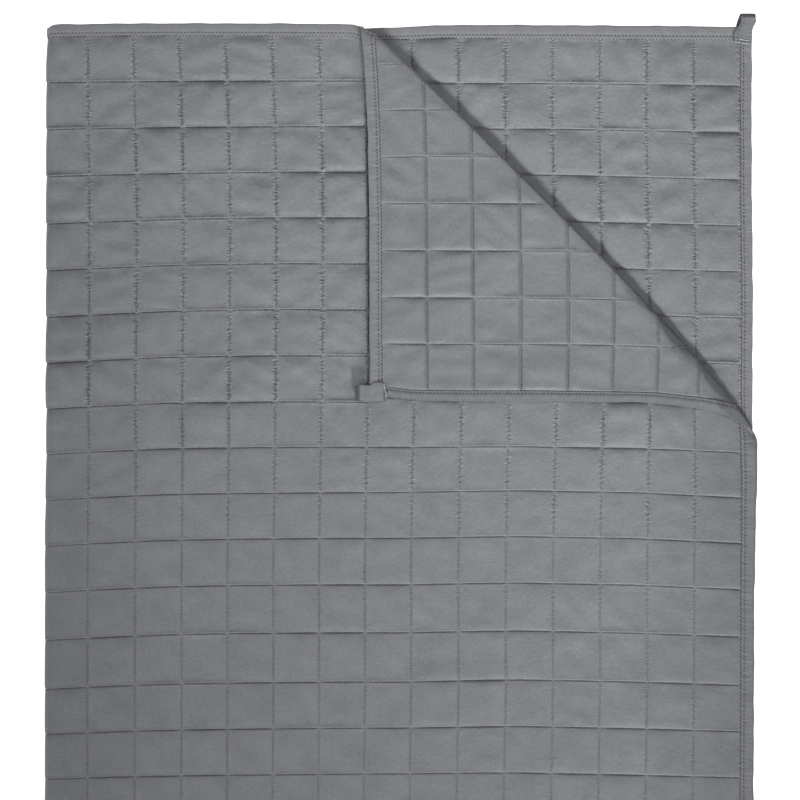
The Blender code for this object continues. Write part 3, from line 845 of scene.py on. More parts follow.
class Nodes:
    """Adds nodes to a material one by one and links what it's given."""

    def __init__(self, name):
        self.material = bpy.data.materials.new(name)
        self.material.use_nodes = True
        self.tree = self.material.node_tree
        self.shader = self.tree.nodes["Principled BSDF"]

    def link(self, value, socket):
        if isinstance(value, Value):
            self.tree.links.new(value.socket, socket)
        else:
            socket.default_value = value

    def add(self, kind, output, *values, **settings):
        """Adds a node, sets it up, fills its inputs in turn and gives its output."""
        node = self.tree.nodes.new("ShaderNode" + kind)
        for setting, value in settings.items():
            setattr(node, setting, value)
        for value, socket in zip(values, node.inputs):
            self.link(value, socket)
        return Value(self, node.outputs[output])

    def math(self, operation, *values):
        return self.add("Math", 0, *values, operation=operation)

    def read_map(self, name):
        place = self.add("UVMap", 0, uv_map=name)
        split = self.add("SeparateXYZ", 0, place).socket.node
        return Value(self, split.outputs[0]), Value(self, split.outputs[1])

    def join(self, x, y, z=0.0):
        return self.add("CombineXYZ", 0, x, y, z)

    def noise(self, vector, scale, detail=2.0, roughness=0.5):
        node = self.add("TexNoise", "Fac").socket.node
        self.link(vector, node.inputs["Vector"])
        node.inputs["Scale"].default_value = scale
        node.inputs["Detail"].default_value = detail
        node.inputs["Roughness"].default_value = roughness
        return Value(self, node.outputs["Fac"])

    def between(self, value, low, high, to_low, to_high):
        return self.add("MapRange", 0, value, low, high, to_low, to_high)

    def bell(self, value, middle, reach):
        off = (value - middle) / reach
        return self.math("EXPONENT", off * off * -1.0)

    def blend(self, share, low, high):
        node = self.add("Mix", 0, data_type="RGBA").socket.node
        self.link(share, node.inputs["Factor"])
        for colour, socket in ((low, node.inputs["A"]), (high, node.inputs["B"])):
            self.link(colour if isinstance(colour, Value) else (*colour, 1), socket)
        return Value(self, node.outputs["Result"])

    def bump(self, height, distance, strength=1.0):
        node = self.add("Bump", 0).socket.node
        node.inputs["Distance"].default_value = distance
        node.inputs["Strength"].default_value = strength
        self.link(height, node.inputs["Height"])
        self.link(Value(self, node.outputs[0]), self.shader.inputs["Normal"])

    def finish(self, colour, roughness, sheen):
        self.link(colour, self.shader.inputs["Base Color"])
        self.link(roughness, self.shader.inputs["Roughness"])
        self.shader.inputs["Sheen Weight"].default_value = sheen
        return self.material


print("helpers for materials are ready")

# %% Say how the cloth looks
CLOTH_DARK = (0.150, 0.156, 0.165)
CLOTH_LIGHT = (0.238, 0.244, 0.254)
# Painted shade and painted highlight: the two colours that stand in for shade and light on the cloth and
# the tapes.
PAINTED_SHADE = (0.052, 0.054, 0.058)
PAINTED_HIGHLIGHT = (0.36, 0.366, 0.378)
CLOTH_SHEEN = 0.12
CLOTH_ROUGHNESS = (0.3, 0.7, 0.56, 0.66)
# Noises: scale, detail and roughness.
PATCHES = (0.035, 4.0, 0.6)
YARN = (0.62, 3.0, 0.75)
WEFT = (0.9, 2.0, 0.7)
WEFT_STRETCH = 0.22
TONE_SHARES = (0.25, 0.45, 0.3)
TONE_ENDS = (0.38, 0.62)
HANDLED = (0.16, 3.0)
HANDLED_HEIGHT = 0.55
# Puckers: how close together, how far from the seam and how high; then the painted shade in their valleys
# and the painted highlight on their ridges.
PUCKER_PITCH = 2.7
PUCKER_LENGTH = 5.5
PUCKER_REACH = 3.4
PUCKER_HEIGHT = 4.5
PUCKER_SEEDS = (3.0, 11.0)
LEVEL_PUCKERS = 0.35
LIVELY_SCALE = 0.02
LIVELY = (0.35, 0.6, 0.42, 0.82)
VALLEY_SHADES = (-0.02, -0.16, 0.0, 0.42)
RIDGE_HIGHLIGHTS = (0.02, 0.16, 0.0, 0.6)
# Ranges below give two places on the map that counts cells, and the value at each of them.
CALM = (8.0, 11.0, 1.0, 0.35)
CALM_ON_FLAP = (30.0, 31.0, 1.0, 0.3)
# Painted shade in the creases that run beside a seam: how dark, how far past the seam and how wide, in
# millimetres.
LEVEL_CREASE_SHADES = ((0.72, 0.85, 0.7), (0.32, -1.25, 0.5), (0.25, 0.0, 0.5), (0.20, -2.0, 1.5))
UPRIGHT_CREASE_SHADES = ((0.30, 0.9, 0.6), (0.15, -1.2, 0.5), (0.45, 0.0, 0.5))
CREASES_PATCHY = (0.35, 0.6, 0.62, 1.0)
CREASE_PATCH_SCALE = 0.3
CROSSING_GAP = 2.2
LEVEL_ACROSS = (3.0, 12.0, 1.05, 0.75)
LEVEL_ON_FLAP = (30.0, 31.0, 0.0, 0.15)
LEVEL_DOWN = (7.0, 9.0, 1.4, 1.0)
# Painted shade on slack cloth below a level seam: how far below, how wide, how dark, and where it shows.
SLACK_BELOW = 6.0
SLACK_HALF = 5.5
SLACK_PATCHY = (0.42, 0.6, 0.0, 0.2)
SLACK_PATCH_SCALE = 0.05
SLACK_DOWN = (7.0, 9.0, 1.0, 0.3)
# The painted shade at the long fold runs from 9 mm to 1 mm from it. Both are turned into columns here.
FOLD_PAINTED_SHADE = ((9 * MM - FOLD_COLUMN) / COLUMN, (MM - FOLD_COLUMN) / COLUMN)
# Painted shade towards the sides and at the long fold: columns where it starts and is full, how dark it is,
# and the rows it grows over.
SIDE_PAINTED_SHADES = ((1.7, 0.0, 0.11, 3.5, 6.5), (11.7, 15.0, 0.38, 7.5, 9.5), (*FOLD_PAINTED_SHADE, 0.22, -3.0, -2.0))
SIDE_PAINTED_SHADE_AT_HEAD = 0.3
ON_FLAP = (30.0, 31.0, 0.0, 1.0)
# Where the painted shade under the crease's roll is darkest, in metres: first crossing, from one to the
# next, reach.
ROLL_CROSSING = 0.674
ROLL_BETWEEN = 0.0625
ROLL_REACH = (0.004, 0.009)
ROLL_EDGE = 0.003
ROLL_PAINTED_SHADE = 0.55
ROLL_PAINTED_SHADE_ALONG = (0.615, 0.665, 0.0, 1.0)
# Beside the roll the painted crease shade is darker: from where to where, in metres, and by how much more.
BY_ROLL = (0.012, 0.03, 1.0, 0.0)
BY_ROLL_MORE = 0.6

print("creases beside a seam:", len(LEVEL_CREASE_SHADES), "level and", len(UPRIGHT_CREASE_SHADES), "upright")

# %% Puckers, and painted shade in the creases beside a seam


def puckers(nodes, past, run, seed):
    """Short wrinkles that run across a seam, and how strongly they show at a place."""
    place = nodes.join(run / PUCKER_PITCH, past / PUCKER_LENGTH, seed)
    return (nodes.noise(place, 1.0) - 0.5) * nodes.bell(past, 0.0, PUCKER_REACH)


def creases(nodes, past, to_other, rows, run):
    """Thin lines of painted shade that run beside a seam, and break off where another seam crosses."""
    lines = [nodes.bell(past, place, half) * depth for depth, place, half in rows]
    total = lines[0]
    for line in lines[1:]:
        total = total + line
    at_crossing = nodes.math("EXPONENT", to_other * (-1 / CROSSING_GAP))
    patchy = nodes.between(nodes.noise(nodes.join(run, past), CREASE_PATCH_SCALE), *CREASES_PATCHY)
    return total * nodes.math("SUBTRACT", 1.0, at_crossing) * patchy


print(f"a pucker reaches {PUCKER_REACH} mm from its seam")

# %% Tone of the weave, and the painted shade along the crease's roll


def weave(nodes, across_mm, down_mm, dark, light):
    """Colour of the bare cloth, and the slow patches in it."""
    places = nodes.join(across_mm, down_mm)
    weft_places = nodes.join(across_mm * WEFT_STRETCH, down_mm)
    patches = nodes.noise(places, *PATCHES)
    noises = (patches, nodes.noise(places, *YARN), nodes.noise(weft_places, *WEFT))
    of_patches, of_yarn, of_weft = [noise * share for noise, share in zip(noises, TONE_SHARES)]
    share = of_patches + of_yarn + of_weft
    return nodes.blend(nodes.between(share, *TONE_ENDS, 0.0, 1.0), dark, light), patches


def roll_painted_shade(nodes, along, past):
    """Painted shade under the crease's roll: a row of lens-shaped shades along its lower end."""
    turn = (along - ROLL_CROSSING) * (np.pi / ROLL_BETWEEN)
    reach = nodes.math("ABSOLUTE", nodes.math("SINE", turn)) * ROLL_REACH[1] + ROLL_REACH[0]
    shade = nodes.between(reach - past, 0.0, ROLL_EDGE, 0.0, ROLL_PAINTED_SHADE)
    return shade * nodes.between(along, *ROLL_PAINTED_SHADE_ALONG)


print("noises in the weave:", len(TONE_SHARES))

# %% Mix the cloth's finish


def cloth_finish(name, dark, light):
    nodes = Nodes(name)
    between = nodes.between
    across, down = nodes.read_map("cells")
    along_roll, past_roll = nodes.read_map("crease")
    across_mm = across * (COLUMN / MM)
    down_mm = down * (ROW / MM)
    past_upright = (across - nodes.math("ROUND", across)) * (COLUMN / MM)
    past_level = (down - nodes.math("ROUND", down)) * (ROW / MM)
    to_upright = nodes.math("ABSOLUTE", past_upright)
    to_level = nodes.math("ABSOLUTE", past_level)
    places = nodes.join(across_mm, down_mm)
    on_flap = between(across, *ON_FLAP)

    strong = between(down, *CALM) * between(across, *CALM_ON_FLAP)
    lively = between(nodes.noise(places, LIVELY_SCALE, 1.0), *LIVELY) * strong
    wrinkled = puckers(nodes, past_upright, down_mm, PUCKER_SEEDS[0]) * lively
    level_puckers = puckers(nodes, past_level, across_mm, PUCKER_SEEDS[1])
    wrinkled = wrinkled + level_puckers * (lively * LEVEL_PUCKERS)
    nodes.bump(wrinkled * PUCKER_HEIGHT + nodes.noise(places, *HANDLED) * HANDLED_HEIGHT, MM)

    colour, patches = weave(nodes, across_mm, down_mm, dark, light)
    # Painted shade in the creases beside the level and upright seams, stronger beside the roll.
    level_share = between(across, *LEVEL_ACROSS) + between(across, *LEVEL_ON_FLAP)
    level_crease_shade = creases(nodes, past_level, to_upright, LEVEL_CREASE_SHADES, across_mm)
    level_crease_shade = level_crease_shade * (level_share * between(down, *LEVEL_DOWN))
    near_roll = between(past_roll, *BY_ROLL) * on_flap
    upright_crease_shade = creases(nodes, past_upright, to_level, UPRIGHT_CREASE_SHADES, down_mm)
    upright_crease_shade = upright_crease_shade * (near_roll * BY_ROLL_MORE + 1.0)
    # Painted shade below the level seams, in patches.
    slack = nodes.bell(past_level, SLACK_BELOW, SLACK_HALF) * strong * between(down, *SLACK_DOWN)
    slack = slack * between(nodes.noise(places, SLACK_PATCH_SCALE), *SLACK_PATCHY)
    lines = nodes.math("MAXIMUM", level_crease_shade, upright_crease_shade)
    # Painted shade along the creases, below slack seams and in the puckers' valleys, then a painted
    # highlight on their ridges.
    for shade in (lines, slack, between(wrinkled, *VALLEY_SHADES)):
        colour = nodes.blend(shade, colour, PAINTED_SHADE)
    colour = nodes.blend(between(wrinkled, *RIDGE_HIGHLIGHTS), colour, PAINTED_HIGHLIGHT)
    # Painted shade towards both sides and at the long fold, weaker in the rows near the head.
    for start, end, shade, first_row, last_row in SIDE_PAINTED_SHADES:
        side_shade = between(across, start, end, 0.0, shade)
        side_shade = side_shade * between(down, first_row, last_row, SIDE_PAINTED_SHADE_AT_HEAD, 1.0)
        colour = nodes.blend(side_shade, colour, PAINTED_SHADE)
    # Painted shade under the crease's roll, on the turned corner only.
    colour = nodes.blend(roll_painted_shade(nodes, along_roll, past_roll) * on_flap, colour, PAINTED_SHADE)
    return nodes.finish(colour, between(patches, *CLOTH_ROUGHNESS), CLOTH_SHEEN)


quilt_cloth = cloth_finish("quilt_cloth_woven", CLOTH_DARK, CLOTH_LIGHT)
print("nodes in the cloth's finish:", len(quilt_cloth.node_tree.nodes))

# %% [markdown]
# ## The quilt's three parts
#
# The quilt stands for one node of the frame, but it would be one very heavy mesh. So it is built
# as three closed parts that meet in seams: the upper layer's head end, which has the turned corner
# and the finest grid; the upper layer's foot end; and the under layer, which is fine only where
# the turned corner leaves it bare.

HEAD_ROWS = 15
FINE_COLUMN = 7
FINE_ROWS = 9

raw_columns = np.concatenate([COLUMN_EDGES[:-1], [HALF_WIDTH - RAW_EDGE_IN]])
raw_rows = np.concatenate([[RAW_EDGE_IN], ROW_EDGES[1:-1], [LENGTH - RAW_EDGE_IN]])


def column_lines(steps, fine_from=None):
    """Lines across one half of the cloth, fine from that column on."""
    strips = [steps] * COLUMNS_EACH_SIDE
    if fine_from is not None:
        strips[fine_from:] = [FINE_STEPS] * (COLUMNS_EACH_SIDE - fine_from)
    return grid_lines(raw_columns, [*strips, PLAIN_STEPS])


def row_lines(first, last, steps, fine_rows=0):
    """Lines between two seams, from the head down, with the raw edges where they are reached."""
    strips = [PLAIN_STEPS, *[FINE_STEPS] * fine_rows, *[steps] * (ROWS - fine_rows), PLAIN_STEPS]
    start = 0 if first == 0 else first + 1
    end = ROWS + 2 if last == ROWS else last + 1
    return -grid_lines(raw_rows[start : end + 1], strips[start:end])


def with_fold(lines):
    """The same lines, with those of the long fold's turn in front."""
    turn = np.linspace(-HALF_TURN / 2, HALF_TURN / 2, FOLD_LINES)
    return np.concatenate([turn, lines[lines > HALF_TURN / 2 + MM]])


def quilt_part(name, outer_lines, inner_lines, crosses_crease=False):
    mesh = quilt_mesh(name, outer_lines, inner_lines, crosses_crease)
    part = finish_mesh(mesh, quilt_cloth)
    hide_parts("quilt")
    return part


def mirrored(lines):
    """Lines of the under layer, from the raw edge up to the long fold's turn."""
    return np.concatenate([-lines[lines > HALF_TURN / 2 + MM][::-1], [-HALF_TURN / 2]])


bare_columns = column_lines(COARSE_STEPS, FINE_COLUMN)
quilt_head = quilt_part(
    "quilt_upper_layer_head_end",
    (with_fold(column_lines(FINE_STEPS)), row_lines(0, HEAD_ROWS, FINE_STEPS)),
    (with_fold(bare_columns), row_lines(0, HEAD_ROWS, COARSE_STEPS, FINE_ROWS)),
    crosses_crease=True,
)
quilt_part(
    "quilt_upper_layer_foot_end",
    (with_fold(column_lines(MIDDLE_STEPS)), row_lines(HEAD_ROWS, ROWS, MIDDLE_STEPS)),
    (with_fold(column_lines(COARSE_STEPS)), row_lines(HEAD_ROWS, ROWS, COARSE_STEPS)),
)
quilt_part(
    "quilt_under_layer",
    (mirrored(column_lines(COARSE_STEPS)), row_lines(0, ROWS, COARSE_STEPS)),
    (mirrored(bare_columns), row_lines(0, ROWS, COARSE_STEPS, FINE_ROWS)),
)

# %% [markdown]
# ## The binding
#
# A binding is a tape folded over the raw edge and sewn down along its inner edges. Its section is
# a long U. We draw that section once, with the tape pressed down on its line of stitches and a
# little puffed between there and the edge, and run it along the cloth's four edges. The tape
# also ripples along the stitches, because thread always gathers it a little.

# %% Section of the binding
STITCH_IN = 9.1 * MM
# Columns: distance in from the outer edge, height over the cloth's middle.
TAPE_TOP = ((12.3, 1.25), (10.7, 1.66), (9.1, 1.3), (8.0, 1.78), (6.4, 2.06), (4.2, 2.1), (2.2, 2.14))
TAPE_ROUND = ((1.0, 2.14), (0.55, 2.02), (0.1, 1.4), (0.0, 0.0))
TAPE_INSIDE = ((12.3, 0.62), (6.0, 0.95), (2.2, 0.8), (1.0, 0.0))


def binding_section():
    """Points round the section, as (distance out from the edge, height)."""
    upper = [*TAPE_TOP, *TAPE_ROUND]
    shell = upper + [(inset, -height) for inset, height in upper[-2::-1]]
    hollow = list(TAPE_INSIDE) + [(inset, -height) for inset, height in TAPE_INSIDE[-2::-1]]
    loop = np.array(shell + hollow[::-1]) * MM
    return -loop[:, 0], loop[:, 1]


section_out, section_height = binding_section()
print("points round the binding's section:", len(section_out))

# %% Run the section along an edge
# How wide a binding's tape is, and how far it's pulled out past its edge: metres along, and mm.
TAPE_WIDTHS = {"binding_head_tape": 1.07}
PULLED_OUT = {
    "binding_side_over_tape": (
        (0.0, 0.35, 0.39, 0.405, 0.426, 0.458, 0.489, 0.55, 0.584, 1.0, 1.6),
        (-1.1, -1.1, 0.3, 3.0, 6.3, 5.3, 3.6, 3.1, 2.1, 2.1, 0.0),
    ),
    "binding_head_tape": ((0.0, 0.05, 0.1, 0.26, 0.31, 0.37, 0.42), (0.5, 1.1, 1.45, 1.45, 1.1, 0.35, 0.0)),
}
DENSE_STEP = 1.0 * MM
SPARSE_STEP = 4.0 * MM
RIPPLE = 0.16 * MM
RIPPLE_LENGTHS = (4.3 * MM, 6.1 * MM, 9.7 * MM)
RIPPLE_REACH = 4.0 * MM
PUFF = 0.06
PUFF_LENGTHS = (37 * MM, 61 * MM, 23 * MM)
EDGE_RIPPLE = 0.25 * MM
EDGE_LENGTHS = (29 * MM, 47 * MM, 83 * MM)


def stations(length, dense):
    """Places along a strip: close together within the dense stretches."""
    places = [0.0]
    while places[-1] < length:
        is_dense = any(start <= places[-1] <= end for start, end in dense)
        places.append(min(length, places[-1] + (DENSE_STEP if is_dense else SPARSE_STEP)))
    return np.array(places)


def wander(places, lengths, seed):
    """An uneven wave along a strip, between about -1 and 1."""
    phases = np.random.default_rng(seed).uniform(0, 2 * np.pi, len(lengths))
    waves = [np.sin(2 * np.pi * places / length + phase) for length, phase in zip(lengths, phases)]
    return sum(waves) / np.sqrt(len(lengths))


def tube_faces(around, count):
    """Faces of a closed tube of count rings, with an n-sided face over each end."""
    ring = np.arange(around)
    beside = (ring + 1) % around
    ring_faces = np.stack([ring, beside, around + beside, around + ring], axis=1)
    faces = [tuple(face) for i in range(count - 1) for face in (ring_faces + i * around).tolist()]
    last = (count - 1) * around
    return [*faces, tuple(range(around))[::-1], tuple(range(last, last + around))]


def binding_mesh(name, length, dense, edge_place, seed):
    """edge_place turns (place along, distance out) into x and y of the flat cloth."""
    places = stations(length, dense)
    along = np.repeat(places, len(section_out))
    map_out = np.tile(section_out, len(places))
    height = np.tile(section_height, len(places))
    out = map_out * TAPE_WIDTHS.get(name, 1.0)
    ripple = RIPPLE * wander(along, RIPPLE_LENGTHS, seed) * bell(out, -STITCH_IN, RIPPLE_REACH)
    puff = 1 + PUFF * wander(along, PUFF_LENGTHS, seed + 1)
    outer_share = np.clip(1 + out / BINDING, 0, 1)
    out = out + EDGE_RIPPLE * wander(along, EDGE_LENGTHS, seed + 2) * outer_share
    if name in PULLED_OUT:
        out = out + MM * outer_share * np.interp(along, *PULLED_OUT[name])
    height = height * puff + np.sign(height) * ripple
    laid = folded(*edge_place(along, out), height)
    mesh = new_mesh(name, laid, tube_faces(len(section_out), len(places)))
    write_map(mesh, "tape", along / BINDING, map_out / BINDING)
    return mesh


print("rings along a side, close for its first metre:", len(stations(STITCHED_LENGTH, [(0, 1)])))

# %% Mix the finish of the tape
TAPE_DARK = (0.175, 0.180, 0.188)
TAPE_LIGHT = (0.203, 0.208, 0.217)
TAPE_RIB = 0.6
TAPE_SHEEN = 0.1
TAPE_ROUGHNESS = (0.3, 0.7, 0.6, 0.72)
TAPE_TONE = (0.12, 4.0, 0.6)
TAPE_TONE_ENDS = (0.35, 0.65, 0.0, 1.0)
TAPE_PUCKERS = (3.0, 9.0, 0.5)
RIB_HEIGHT = 0.04
# Lines painted on a sewn tape: the dark ones are painted shade in its stitched grooves and along
# its edges, and the light one is a painted highlight on the puff between the two dark rows.
# Columns: place, half width, shift along, depth, and whether it is dark. A line with a shift is
# dotted, and one without is whole.
BINDING_PAINTED_LINES = ((12.0, 1.0, 0.0, 1.0, True), (10.6, 0.6, 1.6, 0.4, False), (9.1, 0.9, 3.1, 1.0, True))
# On a loop: a dotted line of painted shade at its stitches, and a whole line of painted shadow along one
# edge of the strap.
LOOP_PAINTED_LINES = ((-4.6, 0.7, 0.0, 0.8, True), (-8.1, 0.9, None, 1.0, True))
# Painted shade along the rounded outer edge of the side tape.
EDGE_PAINTED_SHADE = (0.4, 1.2, None, 0.5, True)
SEWN_PITCH = 3.8
SEWN_JITTER = (0.5, 1.0)
DOT_ENDS = (-0.5, 0.7)
DOT_GAP = 0.15
# Painted shade on the side tape, darker further from the head: places along, in millimetres, and how dark
# it is there.
SIDE_TAPE_PAINTED_SHADES = ((395.0, 450.0, 0.05, 0.2),)


def tape_finish(name, dark, light, rib, lines, shades=()):
    nodes = Nodes(name)
    along, out = nodes.read_map("tape")
    along_mm = along * (BINDING / MM)
    out_mm = out * (BINDING / MM)
    places = nodes.join(along_mm, out_mm)
    stretch_along, stretch_out, pucker_height = TAPE_PUCKERS
    stretched = nodes.join(along_mm / stretch_along, out_mm / stretch_out)
    ribs = nodes.math("SINE", along_mm * (2 * np.pi / rib)) * RIB_HEIGHT
    nodes.bump(nodes.noise(stretched, 1.0) * pucker_height + ribs, MM)
    tone = nodes.noise(places, *TAPE_TONE)
    colour = nodes.blend(nodes.between(tone, *TAPE_TONE_ENDS), dark, light)
    jitter = nodes.noise(places, *SEWN_JITTER) * 2.0 - 1.0
    # Painted lines: shade where dark, highlight where light.
    for place, half, shift, depth, is_dark in lines:
        line = nodes.bell(out_mm, -place, half)
        if shift is None:
            line = line * depth
        else:
            beat = nodes.math("SINE", along_mm * (2 * np.pi / SEWN_PITCH) + shift)
            line = line * nodes.between(beat + jitter, *DOT_ENDS, DOT_GAP * depth, depth)
        colour = nodes.blend(line, colour, PAINTED_SHADE if is_dark else PAINTED_HIGHLIGHT)
    # Painted shade over stretches of the tape.
    for shade in shades:
        colour = nodes.blend(nodes.between(along_mm, *shade), colour, PAINTED_SHADE)
    return nodes.finish(colour, nodes.between(tone, *TAPE_ROUGHNESS), TAPE_SHEEN)


binding_tape = tape_finish("binding_tape_woven", TAPE_DARK, TAPE_LIGHT, TAPE_RIB, BINDING_PAINTED_LINES)
side_painted_lines = (*BINDING_PAINTED_LINES, EDGE_PAINTED_SHADE)
side_tape = tape_finish("side_tape_woven", TAPE_DARK, TAPE_LIGHT, TAPE_RIB, side_painted_lines, SIDE_TAPE_PAINTED_SHADES)
print("nodes in the tape's finish:", len(binding_tape.node_tree.nodes))

# %% Sew on the four bindings
BINDING_SEED = 70
SEEDS_APART = 10
IN_VIEW = 0.83
BARE_CORNER = 0.44
ROUND_FOLD = 8 * MM

FULL_WIDTH = 2 * HALF_WIDTH
past_fold = HALF_WIDTH - ROUND_FOLD
# Node, length, stretches that need close rings, and where the tape's edge runs in the flat cloth.
bindings = (
    ("binding_head", FULL_WIDTH, [(0, BARE_CORNER), (past_fold, FULL_WIDTH)],
     lambda along, out: (along - HALF_WIDTH, out)),
    ("binding_foot", FULL_WIDTH, [(past_fold, HALF_WIDTH + ROUND_FOLD)],
     lambda along, out: (along - HALF_WIDTH, -LENGTH - out)),
    ("binding_side_over", STITCHED_LENGTH, [(0, IN_VIEW)],
     lambda along, out: (HALF_WIDTH + out, -BINDING - along)),
    ("binding_side_under", STITCHED_LENGTH, [(0, BARE_CORNER)],
     lambda along, out: (-HALF_WIDTH - out, -BINDING - along)),
)
for number, (node, length, dense, edge_place) in enumerate(bindings):
    mesh = binding_mesh(node + "_tape", length, dense, edge_place, BINDING_SEED + number * SEEDS_APART)
    finish = side_tape if node == "binding_side_over" else binding_tape
    tape = finish_mesh(mesh, finish)
    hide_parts(node)

# %% [markdown]
# ## The corner loops
#
# Each loop is one length of stiff tape. It's sewn flat on the inner face over the binding, stands
# out past the edge, turns back in a round eye, and returns under the edge. We sweep a thin
# section along that path.

# %% Path and body of a loop
LOOP_WIDTH = 16.0 * MM
LOOP_TAPE = 0.9 * MM
LOOP_SEWN = 15.5 * MM
LOOP_BEND_AT = 11.8 * MM
LOOP_RADIUS = 2.67 * MM
LOOP_LEVEL = -0.18 * MM
LOOP_CLEAR = 1.1 * MM
LOOP_FROM_SIDE = 0.5 * MM
LOOP_WIDENS = 0.2
LOOP_WIDENS_OVER = 6.0 * MM
STRAP_POINTS = 26
EYE_POINTS = 13
BACK_POINTS = 9
# How far a loop leans sideways, as (distance out from the edge, lean) in millimetres, for its two
# straps. The first loop is the one seen best, and the others lean simply left or right.
SLANT_FRONT = ((-15.5, 0.0), (-4.5, 0.5), (-2.4, 0.8), (0.7, 1.8), (3.3, 3.4), (5.6, 4.5), (14.5, 4.1))
SLANT_BACK = ((1.1, 0.0), (3.1, 0.2), (7.0, 1.2), (10.1, 2.5), (14.5, 4.1))
LEFT = (((-5.0, 0.0), (13.3, -0.7)), ((-5.0, 0.0), (13.3, -0.8)))
RIGHT = (((-5.0, 0.0), (13.3, 0.9)), ((-5.0, 0.0), (13.3, 0.7)))
LOOPS = (
    ("loop_head_under", -1, True, SLANT_FRONT, SLANT_BACK),
    ("loop_head_over", 1, True, *LEFT),
    ("loop_foot_under", -1, False, *LEFT),
    ("loop_foot_over", 1, False, *RIGHT),
)


def loop_path():
    """Middle line of a loop's tape as (distance out from the edge, height), and its length."""
    low, high = LOOP_LEVEL - LOOP_RADIUS, LOOP_LEVEL + LOOP_RADIUS
    strap = [(out, low) for out in np.linspace(-LOOP_SEWN, LOOP_BEND_AT, STRAP_POINTS)]
    angles = np.linspace(-np.pi / 2, np.pi / 2, EYE_POINTS)[1:-1]
    eye = [(LOOP_BEND_AT + LOOP_RADIUS * np.cos(a), LOOP_LEVEL + LOOP_RADIUS * np.sin(a)) for a in angles]
    back = [(out, high) for out in np.linspace(LOOP_BEND_AT, LOOP_CLEAR, BACK_POINTS)]
    path = np.array(strap + eye + back)
    steps = np.linalg.norm(np.diff(path, axis=0), axis=1)
    return path, np.concatenate([[0], np.cumsum(steps)])


path, path_length = loop_path()
print(f"a loop's tape is {path_length[-1] / MM:.1f} mm long")

# %% Make the four loops
# Places across the tape as shares of its width, and how thin it is at those of its edges.
LOOP_ACROSS = np.array([-1, -0.93, -0.8, -0.4, 0, 0.4, 0.8, 0.93, 1]) / 2
TAPE_EDGE_FROM = 0.45
TAPE_EDGE_THIN = 0.55
BACK_LEANS_OVER = 6.0 * MM
LOOP_SHARP = np.radians(40)


def loop_mesh(name, side, at_head, front, back):
    tangent = np.gradient(path, axis=0)
    tangent /= np.linalg.norm(tangent, axis=1)[:, None]
    normal = np.stack([-tangent[:, 1], tangent[:, 0]], axis=1)
    is_edge = np.abs(LOOP_ACROSS) > TAPE_EDGE_FROM
    thin = np.where(is_edge, TAPE_EDGE_THIN, 1.0) * LOOP_TAPE / 2
    across = np.concatenate([LOOP_ACROSS, LOOP_ACROSS[::-1]]) * LOOP_WIDTH
    lift = np.concatenate([thin, -thin[::-1]])
    out = (path[:, 0][:, None] + normal[:, 0][:, None] * lift).ravel()
    height = (path[:, 1][:, None] + normal[:, 1][:, None] * lift).ravel()
    along = np.repeat(path_length, len(across))
    sideways = np.tile(across, len(path))
    is_back = smooth_step((along - path_length[STRAP_POINTS - 1]) / BACK_LEANS_OVER)
    leaned = (1 - is_back) * np.interp(out / MM, *np.transpose(front)) * MM
    leaned = leaned + is_back * np.interp(out / MM, *np.transpose(back)) * MM
    wider = 1 + LOOP_WIDENS * smooth_step(-out / LOOP_WIDENS_OVER)
    middle = HALF_WIDTH - LOOP_FROM_SIDE - LOOP_WIDTH * wider / 2
    laid = folded(side * (middle + leaned) + sideways * wider, out if at_head else -LENGTH - out, height)
    mesh = new_mesh(name, laid, tube_faces(len(across), len(path)))
    mesh.set_sharp_from_angle(angle=LOOP_SHARP)
    write_map(mesh, "tape", along / BINDING, sideways / BINDING)
    return mesh


LOOP_DARK = (0.160, 0.165, 0.174)
LOOP_LIGHT = (0.200, 0.205, 0.215)
LOOP_RIB = 0.9
# Painted shades along a loop's tape, over its eye and return and at its sewn end. In millimetres along:
# where a shade starts and ends, and how dark it is there.
LOOP_PAINTED_SHADES = ((24.8, 27.0, 0.0, 0.85), (0.5, 1.5, 0.8, 0.0))
plain_loop = tape_finish("loop_tape_ribbed", LOOP_DARK, LOOP_LIGHT, LOOP_RIB, (), LOOP_PAINTED_SHADES)
sewn_loop = tape_finish("loop_tape_stitched", LOOP_DARK, LOOP_LIGHT, LOOP_RIB, LOOP_PAINTED_LINES, LOOP_PAINTED_SHADES)
for node, *places in LOOPS:
    finish = sewn_loop if node == "loop_head_under" else plain_loop
    loop = finish_mesh(loop_mesh(node + "_tape", *places), finish)
    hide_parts(node)

# %% [markdown]
# ## The stitches
#
# The seams are sewn through both cloths with a thread a shade lighter than the cloth. A seam
# without thread looks like a pressed groove, so each stitch that can be seen is a small spindle of
# its own, eight faces each, and all of them together are one light mesh for each part. Three bold
# rows of a brighter thread tack down the two loops at the head.

# %% Finish of the thread
THREAD_GRAIN = 900.0
THREAD_BUMP = (0.1 * MM, 0.5)
THREAD_ROUGHNESS = 0.55
THREAD_SHEEN = 0.1
THREAD_DARK = (0.30, 0.306, 0.318)
THREAD_LIGHT = (0.38, 0.387, 0.40)
TACK_DARK = (0.42, 0.426, 0.436)
TACK_LIGHT = (0.56, 0.566, 0.576)


def thread_finish(name, dark, light):
    nodes = Nodes(name)
    tone = nodes.noise(nodes.add("TexCoord", "Object"), THREAD_GRAIN)
    nodes.bump(tone, *THREAD_BUMP)
    return nodes.finish(nodes.blend(tone, dark, light), THREAD_ROUGHNESS, THREAD_SHEEN)


thread = thread_finish("quilting_thread", THREAD_DARK, THREAD_LIGHT)
tack_thread = thread_finish("tack_thread", TACK_DARK, TACK_LIGHT)
print("thread finishes:", thread.name, tack_thread.name)

